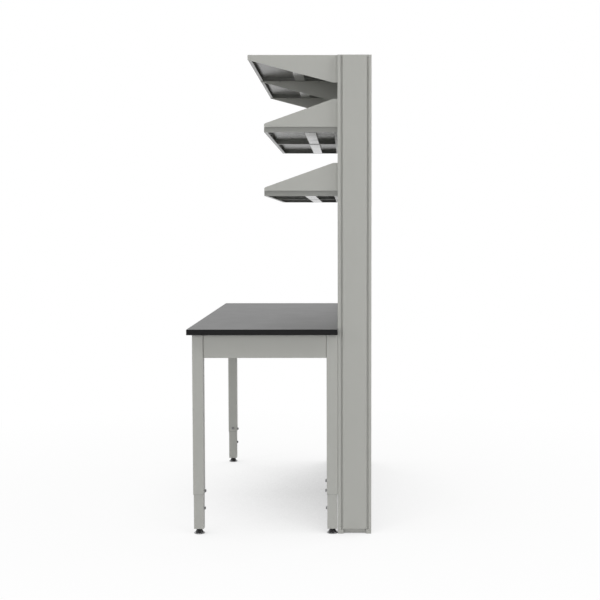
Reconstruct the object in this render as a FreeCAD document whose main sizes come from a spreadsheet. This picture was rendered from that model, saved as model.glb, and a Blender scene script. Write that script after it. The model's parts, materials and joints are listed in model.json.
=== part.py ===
import FreeCAD, Part
import math
import os

import Sketcher

# A lab bench with a reagent shelf. A table on four telescopic legs stands against a steel core,
# and the core carries three levels of shelf, two bays wide.
#
# Row frame, millimetres: X runs along the worktop, the user stands on the -Y side, and +Z is up.
# The origin lies on the floor, under the middle of the whole bench.

SIZES = [
    # worktop
    ("worktop_length", 1829.0),
    ("worktop_depth", 673.0),
    ("worktop_thickness", 25.4),
    ("worktop_top_height", 932.0),
    ("worktop_edge_radius", 1.6),
    # legs: a square upper tube, and a lower tube that slides in it
    ("leg_width", 50.0),
    ("leg_wall", 2.0),
    ("leg_corner_radius", 4.0),
    ("leg_slide_play", 0.5),
    ("leg_inset_end", 42.0),
    ("leg_inset_front", 20.0),
    ("leg_upper_bottom_height", 181.5),
    ("leg_lower_bottom_height", 24.0),
    ("leg_lower_length", 404.0),
    ("leg_lower_wall", 2.5),
    ("leg_lower_corner_radius", 2.65),
    ("leg_base_plate", 10.0),
    ("leg_core_gap", 0.2),
    # bolts and screws
    ("bolt_diameter", 7.8),
    ("bolt_head_width", 11.0),
    ("bolt_head_height", 4.6),
    ("bolt_flange_diameter", 14.0),
    ("bolt_flange_height", 1.3),
    ("bolt_hole_play", 0.2),
    ("bolt_reach", 8.0),
    ("clamp_height", 194.3),
    ("clamp_side_height", 201.0),
    ("clamp_rise_rear", 45.2),
    ("clamp_tip_gap", 0.3),
    ("stop_screw_height", 115.0),
    ("tie_bolt_inset", 15.0),
    ("screw_diameter", 4.8),
    ("screw_head_diameter", 10.0),
    ("screw_head_height", 2.6),
    ("screw_hole_play", 0.15),
    ("worktop_screw_bite", 14.0),
    ("worktop_screw_end_margin", 160.0),
    ("shelf_screw_reach", 4.0),
    # levelling feet
    ("foot_pad_diameter", 50.0),
    ("foot_pad_height", 19.4),
    ("foot_sole_bevel", 1.5),
    ("foot_rim_height", 4.5),
    ("foot_rim_slope", 1.8),
    ("foot_cone_diameter", 38.0),
    ("foot_neck_diameter", 21.0),
    ("foot_stud_diameter", 10.0),
    ("foot_stud_length", 70.0),
    ("foot_collar_width", 17.0),
    ("foot_collar_height", 4.0),
    ("foot_socket_floor", 8.0),
    ("foot_gap", 0.3),
    ("foot_thread_play", 0.08),
    # table frame
    ("apron_height", 107.0),
    ("apron_flange", 25.0),
    ("apron_sheet", 2.0),
    ("apron_setback", 6.0),
    ("apron_bolt_margin", 30.0),
    ("cross_rail_width", 50.0),
    ("cross_rail_height", 60.0),
    # core: three ladder-shaped uprights, closed by panels
    ("core_depth", 151.0),
    ("core_post_top_height", 2147.0),
    ("core_end_inset", 48.0),
    ("post_width", 50.0),
    ("post_depth", 19.0),
    ("post_wall", 2.0),
    ("groove_width", 9.0),
    ("groove_depth", 8.0),
    ("standard_thickness", 4.0),
    ("rung_width", 24.0),
    ("rung_height", 40.0),
    ("rung_low_height", 60.0),
    ("rung_top_drop", 27.0),
    ("rail_width", 40.0),
    ("cover_sheet", 1.5),
    ("cover_flange", 24.0),
    ("cover_edge_radius", 1.4),
    ("cover_bottom_height", 22.0),
    ("panel_depth", 12.0),
    ("panel_sheet", 1.2),
    ("panel_joint", 4.0),
    ("rear_sheet", 1.2),
    ("cap_thickness", 2.0),
    ("shoe_height", 20.0),
    ("shoe_overhang", 2.5),
    ("shoe_web_inset", 16.0),
    ("shoe_web_lift", 2.0),
    # slots of the standards, and the hooks that enter them
    ("slot_pitch", 31.5),
    ("slot_height", 20.0),
    ("slot_width", 3.2),
    ("slot_margin", 14.0),
    ("hook_depth", 3.4),
    ("hook_play", 4.0),
    ("hook_edge", 3.0),
    # shelves
    ("top_shelf_depth", 399.5),
    ("top_tray_height", 20.5),
    ("top_bracket_height", 121.0),
    ("shelf_depth", 328.0),
    ("tray_height", 23.5),
    ("gusset_height", 124.0),
    ("gusset_nose_height", 14.0),
    ("gusset_flat", 20.0),
    ("gusset_nose_radius", 10.0),
    ("bracket_sheet", 2.0),
    ("bracket_flange", 16.0),
    ("gusset_flange", 24.0),
    ("middle_shelf_drop", 317.0),
    ("low_shelf_drop", 283.5),
    ("tray_sheet", 1.5),
    ("tray_return", 15.0),
    ("tray_setback", 8.0),
    ("tray_joint", 0.3),
    ("hat_width", 49.0),
    ("hat_flange", 12.0),
    ("hat_centre", 204.5),
    ("hat_end_gap", 18.0),
]

# a fillet smaller than this is left off, because a thick wall has a sharp corner inside
SMALLEST_RADIUS = 0.3

doc = FreeCAD.newDocument("lab_bench")


class Length:
    """A size that carries its number and the sheet expression that drives it."""

    def __init__(self, value, text):
        self.value = value
        self.text = text

    def join(self, other, sign, value):
        return Length(value, f"({self.text} {sign} {other.text})")

    def __add__(self, other):
        other = as_length(other)
        return self.join(other, "+", self.value + other.value)

    def __sub__(self, other):
        other = as_length(other)
        return self.join(other, "-", self.value - other.value)

    def __mul__(self, other):
        other = as_length(other)
        return self.join(other, "*", self.value * other.value)

    def __truediv__(self, other):
        other = as_length(other)
        return self.join(other, "/", self.value / other.value)

    def __radd__(self, other):
        return as_length(other) + self

    def __rsub__(self, other):
        return as_length(other) - self

    def __rmul__(self, other):
        return as_length(other) * self

    def __neg__(self):
        return Length(-self.value, f"(-1 * {self.text})")


def as_length(number):
    """Turn a plain number into a Length; a Length stays as it is."""
    if isinstance(number, Length):
        return number
    return Length(float(number), f"({float(number)!r})")


def rounded_up(length):
    """The next whole number at or above a Length, as the sheet works it out."""
    return Length(float(math.ceil(length.value)), f"ceil({length.text})")


def make_sheet(rows):
    """Write the driving sizes into the spreadsheet and return them by name."""
    sheet = doc.addObject("Spreadsheet::Sheet", "Sizes")
    sizes = {}
    for row, (alias, value) in enumerate(rows, start=1):
        sheet.set(f"A{row}", alias)
        sheet.set(f"B{row}", str(value))
        sheet.setAlias(f"B{row}", alias)
        sizes[alias] = Length(value, f"Sizes.{alias}")
    doc.recompute()
    return sizes


S = make_sheet(SIZES)
NODES = []


# ---------------------------------------------------------------- building helpers

def bind(item, name, length):
    """Drive one property of an object from the sheet."""
    item.setExpression(name, as_length(length).text)


def place(item, point, rotation=None):
    """Drive an object's position from the sheet, with an optional fixed turn."""
    if rotation is not None:
        item.Placement = FreeCAD.Placement(FreeCAD.Vector(0, 0, 0), rotation)
    for axis, length in zip("xyz", point):
        bind(item, f"Placement.Base.{axis}", length)


def facing(direction):
    """The turn that takes +Z to the given direction."""
    return FreeCAD.Rotation(FreeCAD.Vector(0, 0, 1), FreeCAD.Vector(*direction))


def box(name, corner, extent):
    item = doc.addObject("Part::Box", name)
    for side, length in zip(("Length", "Width", "Height"), extent):
        bind(item, side, length)
    place(item, corner)
    return item


def box_between(name, low, high):
    """A box given by its lowest and highest corners."""
    return box(name, low, [top - bottom for bottom, top in zip(low, high)])


def cylinder(name, radius, length, start=0.0):
    """A cylinder along its own Z, from start upwards."""
    item = doc.addObject("Part::Cylinder", name)
    bind(item, "Radius", radius)
    bind(item, "Height", length)
    place(item, (0.0, 0.0, start))
    return item


def hexagon(name, width, length, start=0.0):
    """A hexagonal prism along its own Z; width is measured across the flats."""
    item = doc.addObject("Part::Prism", name)
    item.Polygon = 6
    bind(item, "Circumradius", width * (1 / math.sqrt(3)))
    bind(item, "Height", length)
    place(item, (0.0, 0.0, start))
    return item


def fuse(name, pieces):
    item = doc.addObject("Part::MultiFuse", name)
    item.Shapes = pieces
    item.Refine = True
    return item


def group(name, pieces):
    """Several separate solids in one object."""
    item = doc.addObject("Part::Compound", name)
    item.Links = pieces
    return item


def cut(name, base, tools):
    """Cut a list of tools from a base."""
    item = doc.addObject("Part::Cut", name)
    item.Base = base
    item.Tool = tools[0] if len(tools) == 1 else group(f"{name}_tools", tools)
    return item


def node(item, name):
    """Hand an object in as one node of the bench."""
    item.Label = name
    NODES.append(item)
    return item


def sketch_on(body, plane, outlines):
    """A sketch of closed outlines, every corner held at sheet-driven distances from the origin."""
    sketch = body.newObject("Sketcher::SketchObject", f"{body.Name}_sketch")
    origin_planes = [part for part in body.Origin.OriginFeatures if part.Role == plane]
    sketch.AttachmentSupport = [(origin_planes[0], "")]
    sketch.MapMode = "FlatFace"
    for outline in outlines:
        first = sketch.GeometryCount
        points = [(as_length(across), as_length(up)) for across, up in outline]
        for index, (across, up) in enumerate(points):
            next_across, next_up = points[(index + 1) % len(points)]
            start = FreeCAD.Vector(across.value, up.value, 0)
            end = FreeCAD.Vector(next_across.value, next_up.value, 0)
            sketch.addGeometry(Part.LineSegment(start, end))
        for index in range(len(points)):
            line = first + index
            following = first + (index + 1) % len(points)
            sketch.addConstraint(Sketcher.Constraint("Coincident", line, 2, following, 1))
        for index, (across, up) in enumerate(points):
            for kind, length in (("DistanceX", across), ("DistanceY", up)):
                rule = Sketcher.Constraint(kind, -1, 1, first + index, 1, length.value)
                number = sketch.addConstraint(rule)
                sketch.setExpression(f"Constraints[{number}]", length.text)
    return sketch


def pad(name, plane, outlines, length, point=(0.0, 0.0, 0.0)):
    """A body with one pad: the outlines lie in the plane, and point places the body."""
    body = doc.addObject("PartDesign::Body", name)
    feature = body.newObject("PartDesign::Pad", f"{name}_pad")
    feature.Profile = sketch_on(body, plane, outlines)
    bind(feature, "Length", length)
    body.Tip = feature
    place(body, point)
    return body


def round_edges(body, radius, chosen):
    """Fillet the edges of the body's last feature that the test picks."""
    doc.recompute()
    base = body.Tip
    names = [f"Edge{number}" for number, edge in enumerate(base.Shape.Edges, start=1) if chosen(edge)]
    feature = body.newObject("PartDesign::Fillet", f"{body.Name}_round")
    feature.Base = (base, names)
    bind(feature, "Radius", radius)
    body.Tip = feature
    return feature


def turned(name, outline, point):
    """A body turned about Z; the outline lies in its own XZ plane."""
    body = doc.addObject("PartDesign::Body", name)
    sketch = sketch_on(body, "XZ_Plane", [outline])
    feature = body.newObject("PartDesign::Revolution", f"{name}_turn")
    feature.Profile = sketch
    feature.ReferenceAxis = (sketch, ["V_Axis"])
    feature.Angle = 360.0
    body.Tip = feature
    place(body, point)
    return body


def rectangle(low_x, high_x, low_y, high_y):
    return [(low_x, low_y), (high_x, low_y), (high_x, high_y), (low_x, high_y)]


def centred_square(width):
    return rectangle(-width / 2, width / 2, -width / 2, width / 2)


def runs_along(edge, axis):
    """True where a straight edge runs along the named axis."""
    if edge.Curve.TypeId != "Part::GeomLine":
        return False
    return abs(abs(getattr(edge.Curve.Direction, axis)) - 1) < 1e-6


# ---------------------------------------------------------------- places worked out from the sizes

HALF_LENGTH = S["worktop_length"] / 2
FRONT = -(S["worktop_depth"] + S["core_depth"]) / 2
CORE_FRONT = FRONT + S["worktop_depth"]
CORE_REAR = CORE_FRONT + S["core_depth"]
WORKTOP_TOP = S["worktop_top_height"]
WORKTOP_UNDER = WORKTOP_TOP - S["worktop_thickness"]

POST_FRONT = CORE_FRONT + S["standard_thickness"]
POST_REAR = CORE_REAR - S["rear_sheet"]
CHASE_FRONT = POST_FRONT + S["post_depth"]
CHASE_REAR = POST_REAR - S["post_depth"]
CORE_END = HALF_LENGTH - S["core_end_inset"]
POST_CENTRE = CORE_END - S["post_width"] / 2
POST_TOP = S["core_post_top_height"]
TOP_RUNG = POST_TOP - S["rung_top_drop"] - S["rung_height"]
RUNG_HEIGHTS = [
    S["rung_low_height"],
    WORKTOP_UNDER - S["rung_height"],
    (WORKTOP_UNDER + TOP_RUNG) / 2,
    TOP_RUNG,
]
SLOT_START = WORKTOP_TOP + S["slot_margin"]

LEG_X = HALF_LENGTH - S["leg_inset_end"] - S["leg_width"] / 2
LEG_FRONT_Y = FRONT + S["leg_inset_front"] + S["leg_width"] / 2
LEG_REAR_Y = CORE_FRONT - S["leg_core_gap"] - S["leg_width"] / 2
LEG_LOWER_WIDTH = S["leg_width"] - 2 * S["leg_wall"] - 2 * S["leg_slide_play"]

TOP_SHELF_TOP = POST_TOP + S["cap_thickness"]
MIDDLE_TRAY_TOP = TOP_SHELF_TOP - S["middle_shelf_drop"]
LOW_TRAY_TOP = MIDDLE_TRAY_TOP - S["low_shelf_drop"]

# each leg: its name, its end (+1 at the +X end), its row (-1 at the front) and its Y
LEGS = [
    ("front_left", -1, -1, LEG_FRONT_Y),
    ("front_right", 1, -1, LEG_FRONT_Y),
    ("rear_left", -1, 1, LEG_REAR_Y),
    ("rear_right", 1, 1, LEG_REAR_Y),
]
SIDES = [("left", -1), ("right", 1)]


# ---------------------------------------------------------------- bolts and screws

def bolt(name, point, direction, shank):
    """A hexagon flange bolt: its seat is at point and its head stands along direction."""
    item = fuse(name, [
        cylinder(f"{name}_shank", S["bolt_diameter"] / 2, shank + S["bolt_flange_height"], -shank),
        cylinder(f"{name}_flange", S["bolt_flange_diameter"] / 2, S["bolt_flange_height"]),
        hexagon(f"{name}_head", S["bolt_head_width"], S["bolt_flange_height"] + S["bolt_head_height"]),
    ])
    place(item, point, facing(direction))
    return item


def screw(name, point, direction, shank):
    """A pan head screw: its seat is at point and its head stands along direction."""
    item = fuse(name, [
        cylinder(f"{name}_shank", S["screw_diameter"] / 2, shank + S["screw_head_height"] / 2, -shank),
        cylinder(f"{name}_head", S["screw_head_diameter"] / 2, S["screw_head_height"]),
    ])
    place(item, point, facing(direction))
    return item


def hole(name, point, direction, diameter, depth):
    """A round cutter that starts just outside point and goes in against direction."""
    item = cylinder(f"{name}_core", diameter / 2, depth + 1, -depth)
    moved = group(name, [item])
    place(moved, point, facing(direction))
    return moved


def bolt_hole(name, point, direction, depth):
    return hole(name, point, direction, S["bolt_diameter"] + 2 * S["bolt_hole_play"], depth)


def screw_hole(name, point, direction, depth):
    return hole(name, point, direction, S["screw_diameter"] + 2 * S["screw_hole_play"], depth)


# ---------------------------------------------------------------- table

def apron_bolt_places():
    """Where the aprons are bolted to the legs: the seat inside each apron's end flange."""
    places = []
    web_middle = S["apron_setback"] + S["apron_flange"] / 2
    heights = (
        WORKTOP_UNDER - S["apron_bolt_margin"],
        WORKTOP_UNDER - S["apron_height"] + S["apron_bolt_margin"],
    )
    leg_half = S["leg_width"] / 2
    for _, end, row, leg_y in LEGS:
        for height in heights:
            along_x = (
                end * (LEG_X - leg_half - S["apron_sheet"]),
                leg_y + row * (leg_half - web_middle),
                height,
            )
            places.append((along_x, (-end, 0, 0)))
            along_y = (
                end * (LEG_X + leg_half - web_middle),
                leg_y - row * (leg_half + S["apron_sheet"]),
                height,
            )
            places.append((along_y, (0, -row, 0)))
    return places


def worktop_screw_places():
    """Where the worktop is screwed down: the underside of the apron's top flange."""
    places = []
    height = WORKTOP_UNDER - S["apron_sheet"]
    reach = LEG_X - S["worktop_screw_end_margin"]
    web_middle = S["apron_setback"] + S["apron_flange"] / 2
    leg_half = S["leg_width"] / 2
    front_y = LEG_FRONT_Y - leg_half + web_middle
    rear_y = LEG_REAR_Y + leg_half - web_middle
    for share in (-1, -1 / 3, 1 / 3, 1):
        places.append((share * reach, front_y, height))
        places.append((share * reach, rear_y, height))
    for _, end in SIDES:
        places.append((end * (LEG_X + leg_half - web_middle), (front_y + rear_y) / 2, height))
    return places


def clamp_places():
    """Where clamp bolts press on the lower tubes: the outer face of each upper tube."""
    places = []
    half = S["leg_width"] / 2
    for _, end, row, leg_y in LEGS:
        inner_y = leg_y - row * half
        places.append(((end * LEG_X, inner_y, S["clamp_height"]), (0, -row, 0)))
        if row < 0:
            places.append(((end * (LEG_X - half), leg_y, S["clamp_side_height"]), (-end, 0, 0)))
        else:
            upper = S["clamp_height"] + S["clamp_rise_rear"]
            places.append(((end * LEG_X, inner_y, upper), (0, -row, 0)))
    return places


def tie_places():
    """Where a long bolt ties each rear leg to the core: the leg's front face, behind the end apron."""
    height = WORKTOP_UNDER - S["apron_height"] / 2
    face_y = LEG_REAR_Y - S["leg_width"] / 2
    return [((end * (LEG_X - S["tie_bolt_inset"]), face_y, height), (0, -1, 0)) for _, end in SIDES]


APRON_BOLTS = apron_bolt_places()
WORKTOP_SCREWS = worktop_screw_places()
CLAMPS = clamp_places()
TIES = tie_places()

apron_bolt_depth = S["apron_sheet"] + S["leg_wall"] + S["bolt_reach"]
clamp_depth = S["leg_wall"] + S["leg_slide_play"] - S["clamp_tip_gap"]
tie_depth = (
    S["leg_width"] + S["leg_core_gap"] + S["standard_thickness"] + S["post_wall"] + S["bolt_reach"]
)
worktop_screw_depth = S["apron_sheet"] + S["worktop_screw_bite"]

apron_bolt_holes = [
    bolt_hole(f"apron_bolt_hole_{number}", point, direction, apron_bolt_depth + 1)
    for number, (point, direction) in enumerate(APRON_BOLTS)
]
worktop_screw_holes = [
    screw_hole(f"worktop_screw_hole_{number}", point, (0, 0, -1), worktop_screw_depth + 1)
    for number, point in enumerate(WORKTOP_SCREWS)
]
clamp_holes = [
    bolt_hole(f"clamp_hole_{number}", point, direction, S["leg_wall"] + 1)
    for number, (point, direction) in enumerate(CLAMPS)
]
tie_holes = [
    bolt_hole(f"tie_hole_{number}", point, direction, tie_depth + 1)
    for number, (point, direction) in enumerate(TIES)
]


def make_worktop():
    slab = pad(
        "worktop_slab", "XY_Plane",
        [rectangle(-HALF_LENGTH, HALF_LENGTH, FRONT, CORE_FRONT)],
        S["worktop_thickness"], (0.0, 0.0, WORKTOP_UNDER),
    )

    def eased(edge):
        """Every outer edge but those of the back, which meets the core."""
        middle = edge.CenterOfMass
        return middle.y < CORE_FRONT.value - 1

    round_edges(slab, S["worktop_edge_radius"], eased)
    node(cut("worktop_cut", slab, worktop_screw_holes), "worktop")


def square_tube(name, width, wall, corner_radius, length, point):
    """An upright square tube with rounded corners, centred on its own Z."""
    body = pad(name, "XY_Plane", [centred_square(width), centred_square(width - 2 * wall)], length)
    outer = width.value / 2

    def outside(edge):
        return runs_along(edge, "z") and abs(abs(edge.CenterOfMass.x) - outer) < 0.01

    def inside(edge):
        return runs_along(edge, "z") and abs(abs(edge.CenterOfMass.x) - outer + wall.value) < 0.01

    round_edges(body, corner_radius, outside)
    if corner_radius.value - wall.value > SMALLEST_RADIUS:
        round_edges(body, corner_radius - wall, inside)
    place(body, point)
    return body


def make_upper_legs():
    for number, (name, end, row, leg_y) in enumerate(LEGS):
        bottom = S["leg_upper_bottom_height"]
        tube = square_tube(
            f"{name}_upper_tube", S["leg_width"], S["leg_wall"], S["leg_corner_radius"],
            WORKTOP_UNDER - bottom, (end * LEG_X, leg_y, bottom),
        )
        holes = apron_bolt_holes[4 * number:4 * number + 4] + clamp_holes[2 * number:2 * number + 2]
        if row > 0:
            holes.append(tie_holes[0 if end < 0 else 1])
        node(cut(f"{name}_upper_cut", tube, holes), f"leg_upper_{name}")


def make_apron(name, low, high, open_low, open_high):
    """A shallow pan on edge: a web outside, four flanges, and an open side facing the knees."""
    outer = box_between(f"{name}_outer", low, high)
    hollow = box_between(f"{name}_hollow", open_low, open_high)
    node(cut(f"{name}_cut", outer, [hollow] + apron_bolt_holes + worktop_screw_holes), f"apron_{name}")


def make_aprons():
    sheet = S["apron_sheet"]
    flange = S["apron_flange"]
    half = S["leg_width"] / 2
    bottom = WORKTOP_UNDER - S["apron_height"]
    end_x = LEG_X - half
    low_z, high_z = bottom + sheet, WORKTOP_UNDER - sheet
    front_y = LEG_FRONT_Y - half + S["apron_setback"]
    rear_y = LEG_REAR_Y + half - S["apron_setback"]
    make_apron(
        "front", (-end_x, front_y, bottom), (end_x, front_y + flange, WORKTOP_UNDER),
        (-end_x + sheet, front_y + sheet, low_z), (end_x - sheet, front_y + flange + 1, high_z),
    )
    make_apron(
        "rear", (-end_x, rear_y - flange, bottom), (end_x, rear_y, WORKTOP_UNDER),
        (-end_x + sheet, rear_y - flange - 1, low_z), (end_x - sheet, rear_y - sheet, high_z),
    )
    start_y, stop_y = LEG_FRONT_Y + half, LEG_REAR_Y - half
    outer_x = LEG_X + half - S["apron_setback"]
    make_apron(
        "right", (outer_x - flange, start_y, bottom), (outer_x, stop_y, WORKTOP_UNDER),
        (outer_x - flange - 1, start_y + sheet, low_z), (outer_x - sheet, stop_y - sheet, high_z),
    )
    make_apron(
        "left", (-outer_x, start_y, bottom), (-outer_x + flange, stop_y, WORKTOP_UNDER),
        (-outer_x + sheet, start_y + sheet, low_z), (-outer_x + flange + 1, stop_y - sheet, high_z),
    )
    return front_y + sheet, rear_y - sheet


def make_cross_rail(start_y, stop_y):
    """A channel under the middle of the worktop, from web to web, below the top flanges."""
    sheet = S["apron_sheet"]
    half = S["cross_rail_width"] / 2
    height = S["cross_rail_height"]
    top = WORKTOP_UNDER - sheet
    outer = box_between("cross_rail_outer", (-half, start_y, top - height), (half, stop_y, top))
    hollow = box_between(
        "cross_rail_hollow", (-half + sheet, start_y - 1, top - height - 1),
        (half - sheet, stop_y + 1, top - sheet),
    )
    node(cut("cross_rail_cut", outer, [hollow]), "cross_rail")


def make_table_fasteners():
    bolts = [
        bolt(f"apron_bolt_{number}", point, direction, apron_bolt_depth)
        for number, (point, direction) in enumerate(APRON_BOLTS)
    ]
    node(group("apron_bolt_set", bolts), "apron_bolts")
    screws = [
        screw(f"worktop_screw_{number}", point, (0, 0, -1), worktop_screw_depth)
        for number, point in enumerate(WORKTOP_SCREWS)
    ]
    node(group("worktop_screw_set", screws), "worktop_screws")
    clamps = [
        bolt(f"clamp_bolt_{number}", point, direction, clamp_depth)
        for number, (point, direction) in enumerate(CLAMPS)
    ]
    node(group("clamp_bolt_set", clamps), "leg_clamp_bolts")
    ties = [
        bolt(f"tie_bolt_{number}", point, direction, tie_depth)
        for number, (point, direction) in enumerate(TIES)
    ]
    node(group("tie_bolt_set", ties), "core_tie_bolts")


# ---------------------------------------------------------------- lower legs and levelling feet

def make_lower_leg(name, end, row, leg_y):
    """A square tube with a threaded plate in its lower end, and a stop screw on its inner face."""
    width = LEG_LOWER_WIDTH
    wall = S["leg_lower_wall"]
    bottom = S["leg_lower_bottom_height"]
    centre_x = end * LEG_X
    tube = square_tube(
        f"{name}_lower_tube", width, wall, S["leg_lower_corner_radius"],
        S["leg_lower_length"], (centre_x, leg_y, bottom),
    )
    half_inside = width / 2 - wall
    plate = box(
        f"{name}_base_plate", (centre_x - half_inside, leg_y - half_inside, bottom),
        (2 * half_inside, 2 * half_inside, S["leg_base_plate"]),
    )
    weldment = fuse(f"{name}_lower_weldment", [tube, plate])
    stud_bore = hole(
        f"{name}_stud_bore", (centre_x, leg_y, bottom), (0, 0, -1),
        S["foot_stud_diameter"] + 2 * S["foot_thread_play"], S["leg_base_plate"] + 1,
    )
    seat = (centre_x, leg_y - row * width / 2, S["stop_screw_height"])
    shank = wall + S["bolt_reach"]
    screw_bore = bolt_hole(f"{name}_stop_bore", seat, (0, -row, 0), wall + 1)
    node(cut(f"{name}_lower_cut", weldment, [stud_bore, screw_bore]), f"leg_lower_{name}")
    node(bolt(f"{name}_stop_screw", seat, (0, -row, 0), shank), f"leg_stop_screw_{name}")


def make_foot(name, end, leg_y):
    """A levelling foot: a cone on a wide thin rim, and the stud that turns in it and in the leg."""
    centre = (end * LEG_X, leg_y, 0.0)
    rim = S["foot_pad_diameter"] / 2
    cone = S["foot_cone_diameter"] / 2
    neck = S["foot_neck_diameter"] / 2
    top = S["foot_pad_height"]
    socket = S["foot_stud_diameter"] / 2 + S["foot_thread_play"]
    floor = S["foot_socket_floor"]
    bevel = S["foot_sole_bevel"]
    rim_top = S["foot_rim_height"]
    pad_outline = [
        (0.0, 0.0), (rim - bevel, 0.0), (rim, bevel), (rim, rim_top),
        (cone, rim_top + S["foot_rim_slope"]), (neck, top), (socket, top), (socket, floor), (0.0, floor),
    ]
    node(turned(f"{name}_pad", pad_outline, centre), f"foot_pad_{name}")
    gap = S["foot_gap"]
    start = floor + gap
    stud = fuse(f"{name}_stud", [
        cylinder(f"{name}_stud_rod", S["foot_stud_diameter"] / 2, S["foot_stud_length"], start),
        hexagon(f"{name}_stud_collar", S["foot_collar_width"], S["foot_collar_height"], top + gap),
    ])
    place(stud, centre)
    node(stud, f"foot_stud_{name}")


# ---------------------------------------------------------------- core

def make_upright(name, centre, end):
    """A ladder frame: two hollow posts joined by rungs. end is 0 for the plain middle frame."""
    half = S["post_width"] / 2
    wall = S["post_wall"]
    base = S["shoe_height"]
    outer_x = centre + end * half if end else centre + half
    pieces = []
    for row, low, high in (("front", POST_FRONT, CHASE_FRONT), ("rear", CHASE_REAR, POST_REAR)):
        if end:
            inner_x = centre - end * half
            step_x = outer_x - end * S["groove_depth"]
            plain = low if row == "front" else high
            step = high if row == "front" else low
            turn = 1 if row == "front" else -1
            land = step - turn * S["groove_width"]
            section = [
                (inner_x, plain), (outer_x, plain), (outer_x, land), (step_x, land),
                (step_x, step), (inner_x, step),
            ]
            inside = [
                (inner_x + end * wall, plain + turn * wall), (outer_x - end * wall, plain + turn * wall),
                (outer_x - end * wall, land - turn * wall), (step_x - end * wall, land - turn * wall),
                (step_x - end * wall, step - turn * wall), (inner_x + end * wall, step - turn * wall),
            ]
        else:
            section = rectangle(centre - half, centre + half, low, high)
            inside = rectangle(centre - half + wall, centre + half - wall, low + wall, high - wall)
        pieces.append(pad(
            f"{name}_{row}_post", "XY_Plane", [section, inside], POST_TOP - base, (0.0, 0.0, base),
        ))
    if end:
        rung_low = centre - half if end > 0 else centre + half - S["rung_width"]
    else:
        rung_low = centre - S["rung_width"] / 2
    bores = []
    for number, height in enumerate(RUNG_HEIGHTS):
        rung_high = rung_low + S["rung_width"]
        pieces.append(box_between(
            f"{name}_rung_{number}", (rung_low, CHASE_FRONT, height),
            (rung_high, CHASE_REAR, height + S["rung_height"]),
        ))
        bores.append(box_between(
            f"{name}_rung_bore_{number}", (rung_low + wall, CHASE_FRONT, height + wall),
            (rung_high - wall, CHASE_REAR, height + S["rung_height"] - wall),
        ))
    return cut(f"{name}_upright_frame", fuse(f"{name}_upright_weldment", pieces), bores)


def make_uprights():
    left = make_upright("left", -POST_CENTRE, -1)
    right = make_upright("right", POST_CENTRE, 1)
    node(cut("left_upright_cut", left, [tie_holes[0]]), "core_upright_left")
    node(cut("right_upright_cut", right, [tie_holes[1]]), "core_upright_right")
    node(make_upright("middle", as_length(0.0), 0), "core_upright_middle")


def make_standards():
    """Strips on the fronts of the posts, slotted above the worktop, where the brackets hook on."""
    strips = []
    half = S["post_width"] / 2
    slots = int((POST_TOP.value - SLOT_START.value - S["slot_height"].value) / S["slot_pitch"].value) + 1
    standards = (
        ("left", -POST_CENTRE, [tie_holes[0]]),
        ("middle", as_length(0.0), []),
        ("right", POST_CENTRE, [tie_holes[1]]),
    )
    for name, centre, bolt_bores in standards:
        strip = box_between(
            f"{name}_standard_strip", (centre - half, CORE_FRONT, S["shoe_height"]),
            (centre + half, POST_FRONT, POST_TOP),
        )
        openings = [
            box(
                f"{name}_slot_{number}",
                (centre - S["slot_width"] / 2, CORE_FRONT - 1, SLOT_START + number * S["slot_pitch"]),
                (S["slot_width"], S["standard_thickness"] + 2, S["slot_height"]),
            )
            for number in range(slots)
        ]
        strips.append(cut(f"{name}_standard_cut", strip, openings + bolt_bores))
    node(group("standard_set", strips), "slotted_standards")


def make_end_covers():
    """Each end of the chase is closed by a channel whose flanges lie on the posts."""
    sheet = S["cover_sheet"]
    flange = S["cover_flange"]
    bottom = S["cover_bottom_height"]
    for name, end in SIDES:
        face = end * CORE_END
        section = [
            (face, CHASE_FRONT), (face, CHASE_REAR), (face - end * flange, CHASE_REAR),
            (face - end * flange, CHASE_REAR - sheet), (face - end * sheet, CHASE_REAR - sheet),
            (face - end * sheet, CHASE_FRONT + sheet), (face - end * flange, CHASE_FRONT + sheet),
            (face - end * flange, CHASE_FRONT),
        ]
        cover = pad(
            f"{name}_end_cover", "XY_Plane", [section], POST_TOP - bottom, (0.0, 0.0, bottom),
        )
        outer = abs(face.value)

        def corner(edge):
            return runs_along(edge, "z") and abs(abs(edge.CenterOfMass.x) - outer) < 0.01

        round_edges(cover, S["cover_edge_radius"], corner)
        node(cover, f"end_cover_{name}")


def make_pan(name, low, high, sheet):
    """A shallow pan: a face at its lowest Y, four returns, and an open back."""
    outer = box_between(f"{name}_outer", low, high)
    hollow = box_between(
        f"{name}_hollow", (low[0] + sheet, low[1] + sheet, low[2] + sheet),
        (high[0] - sheet, high[1] + 1, high[2] - sheet),
    )
    return cut(f"{name}_pan", outer, [hollow])


def make_panels():
    """Front panels stand between the posts; rear panels cover the whole back."""
    start_x = S["post_width"] / 2
    stop_x = CORE_END - S["post_width"]
    depth = S["panel_depth"]
    joint = S["panel_joint"]
    base = S["cover_bottom_height"]
    levels = [("lower", base, WORKTOP_UNDER - joint / 2), ("upper", WORKTOP_UNDER + joint / 2, POST_TOP)]
    for level, bottom, top in levels:
        panels = [
            make_pan(
                f"{level}_{name}_panel", (low_x, POST_FRONT, bottom), (high_x, POST_FRONT + depth, top),
                S["panel_sheet"],
            )
            for name, low_x, high_x in (("left", -stop_x, -start_x), ("right", start_x, stop_x))
        ]
        node(group(f"{level}_panel_set", panels), f"front_panels_{level}")
    sheets = [
        box_between(f"{name}_rear_sheet", (low_x, POST_REAR, base), (high_x, CORE_REAR, POST_TOP))
        for name, low_x, high_x in (("left", -CORE_END, -joint / 2), ("right", joint / 2, CORE_END))
    ]
    node(group("rear_sheet_set", sheets), "rear_panels")


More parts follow.
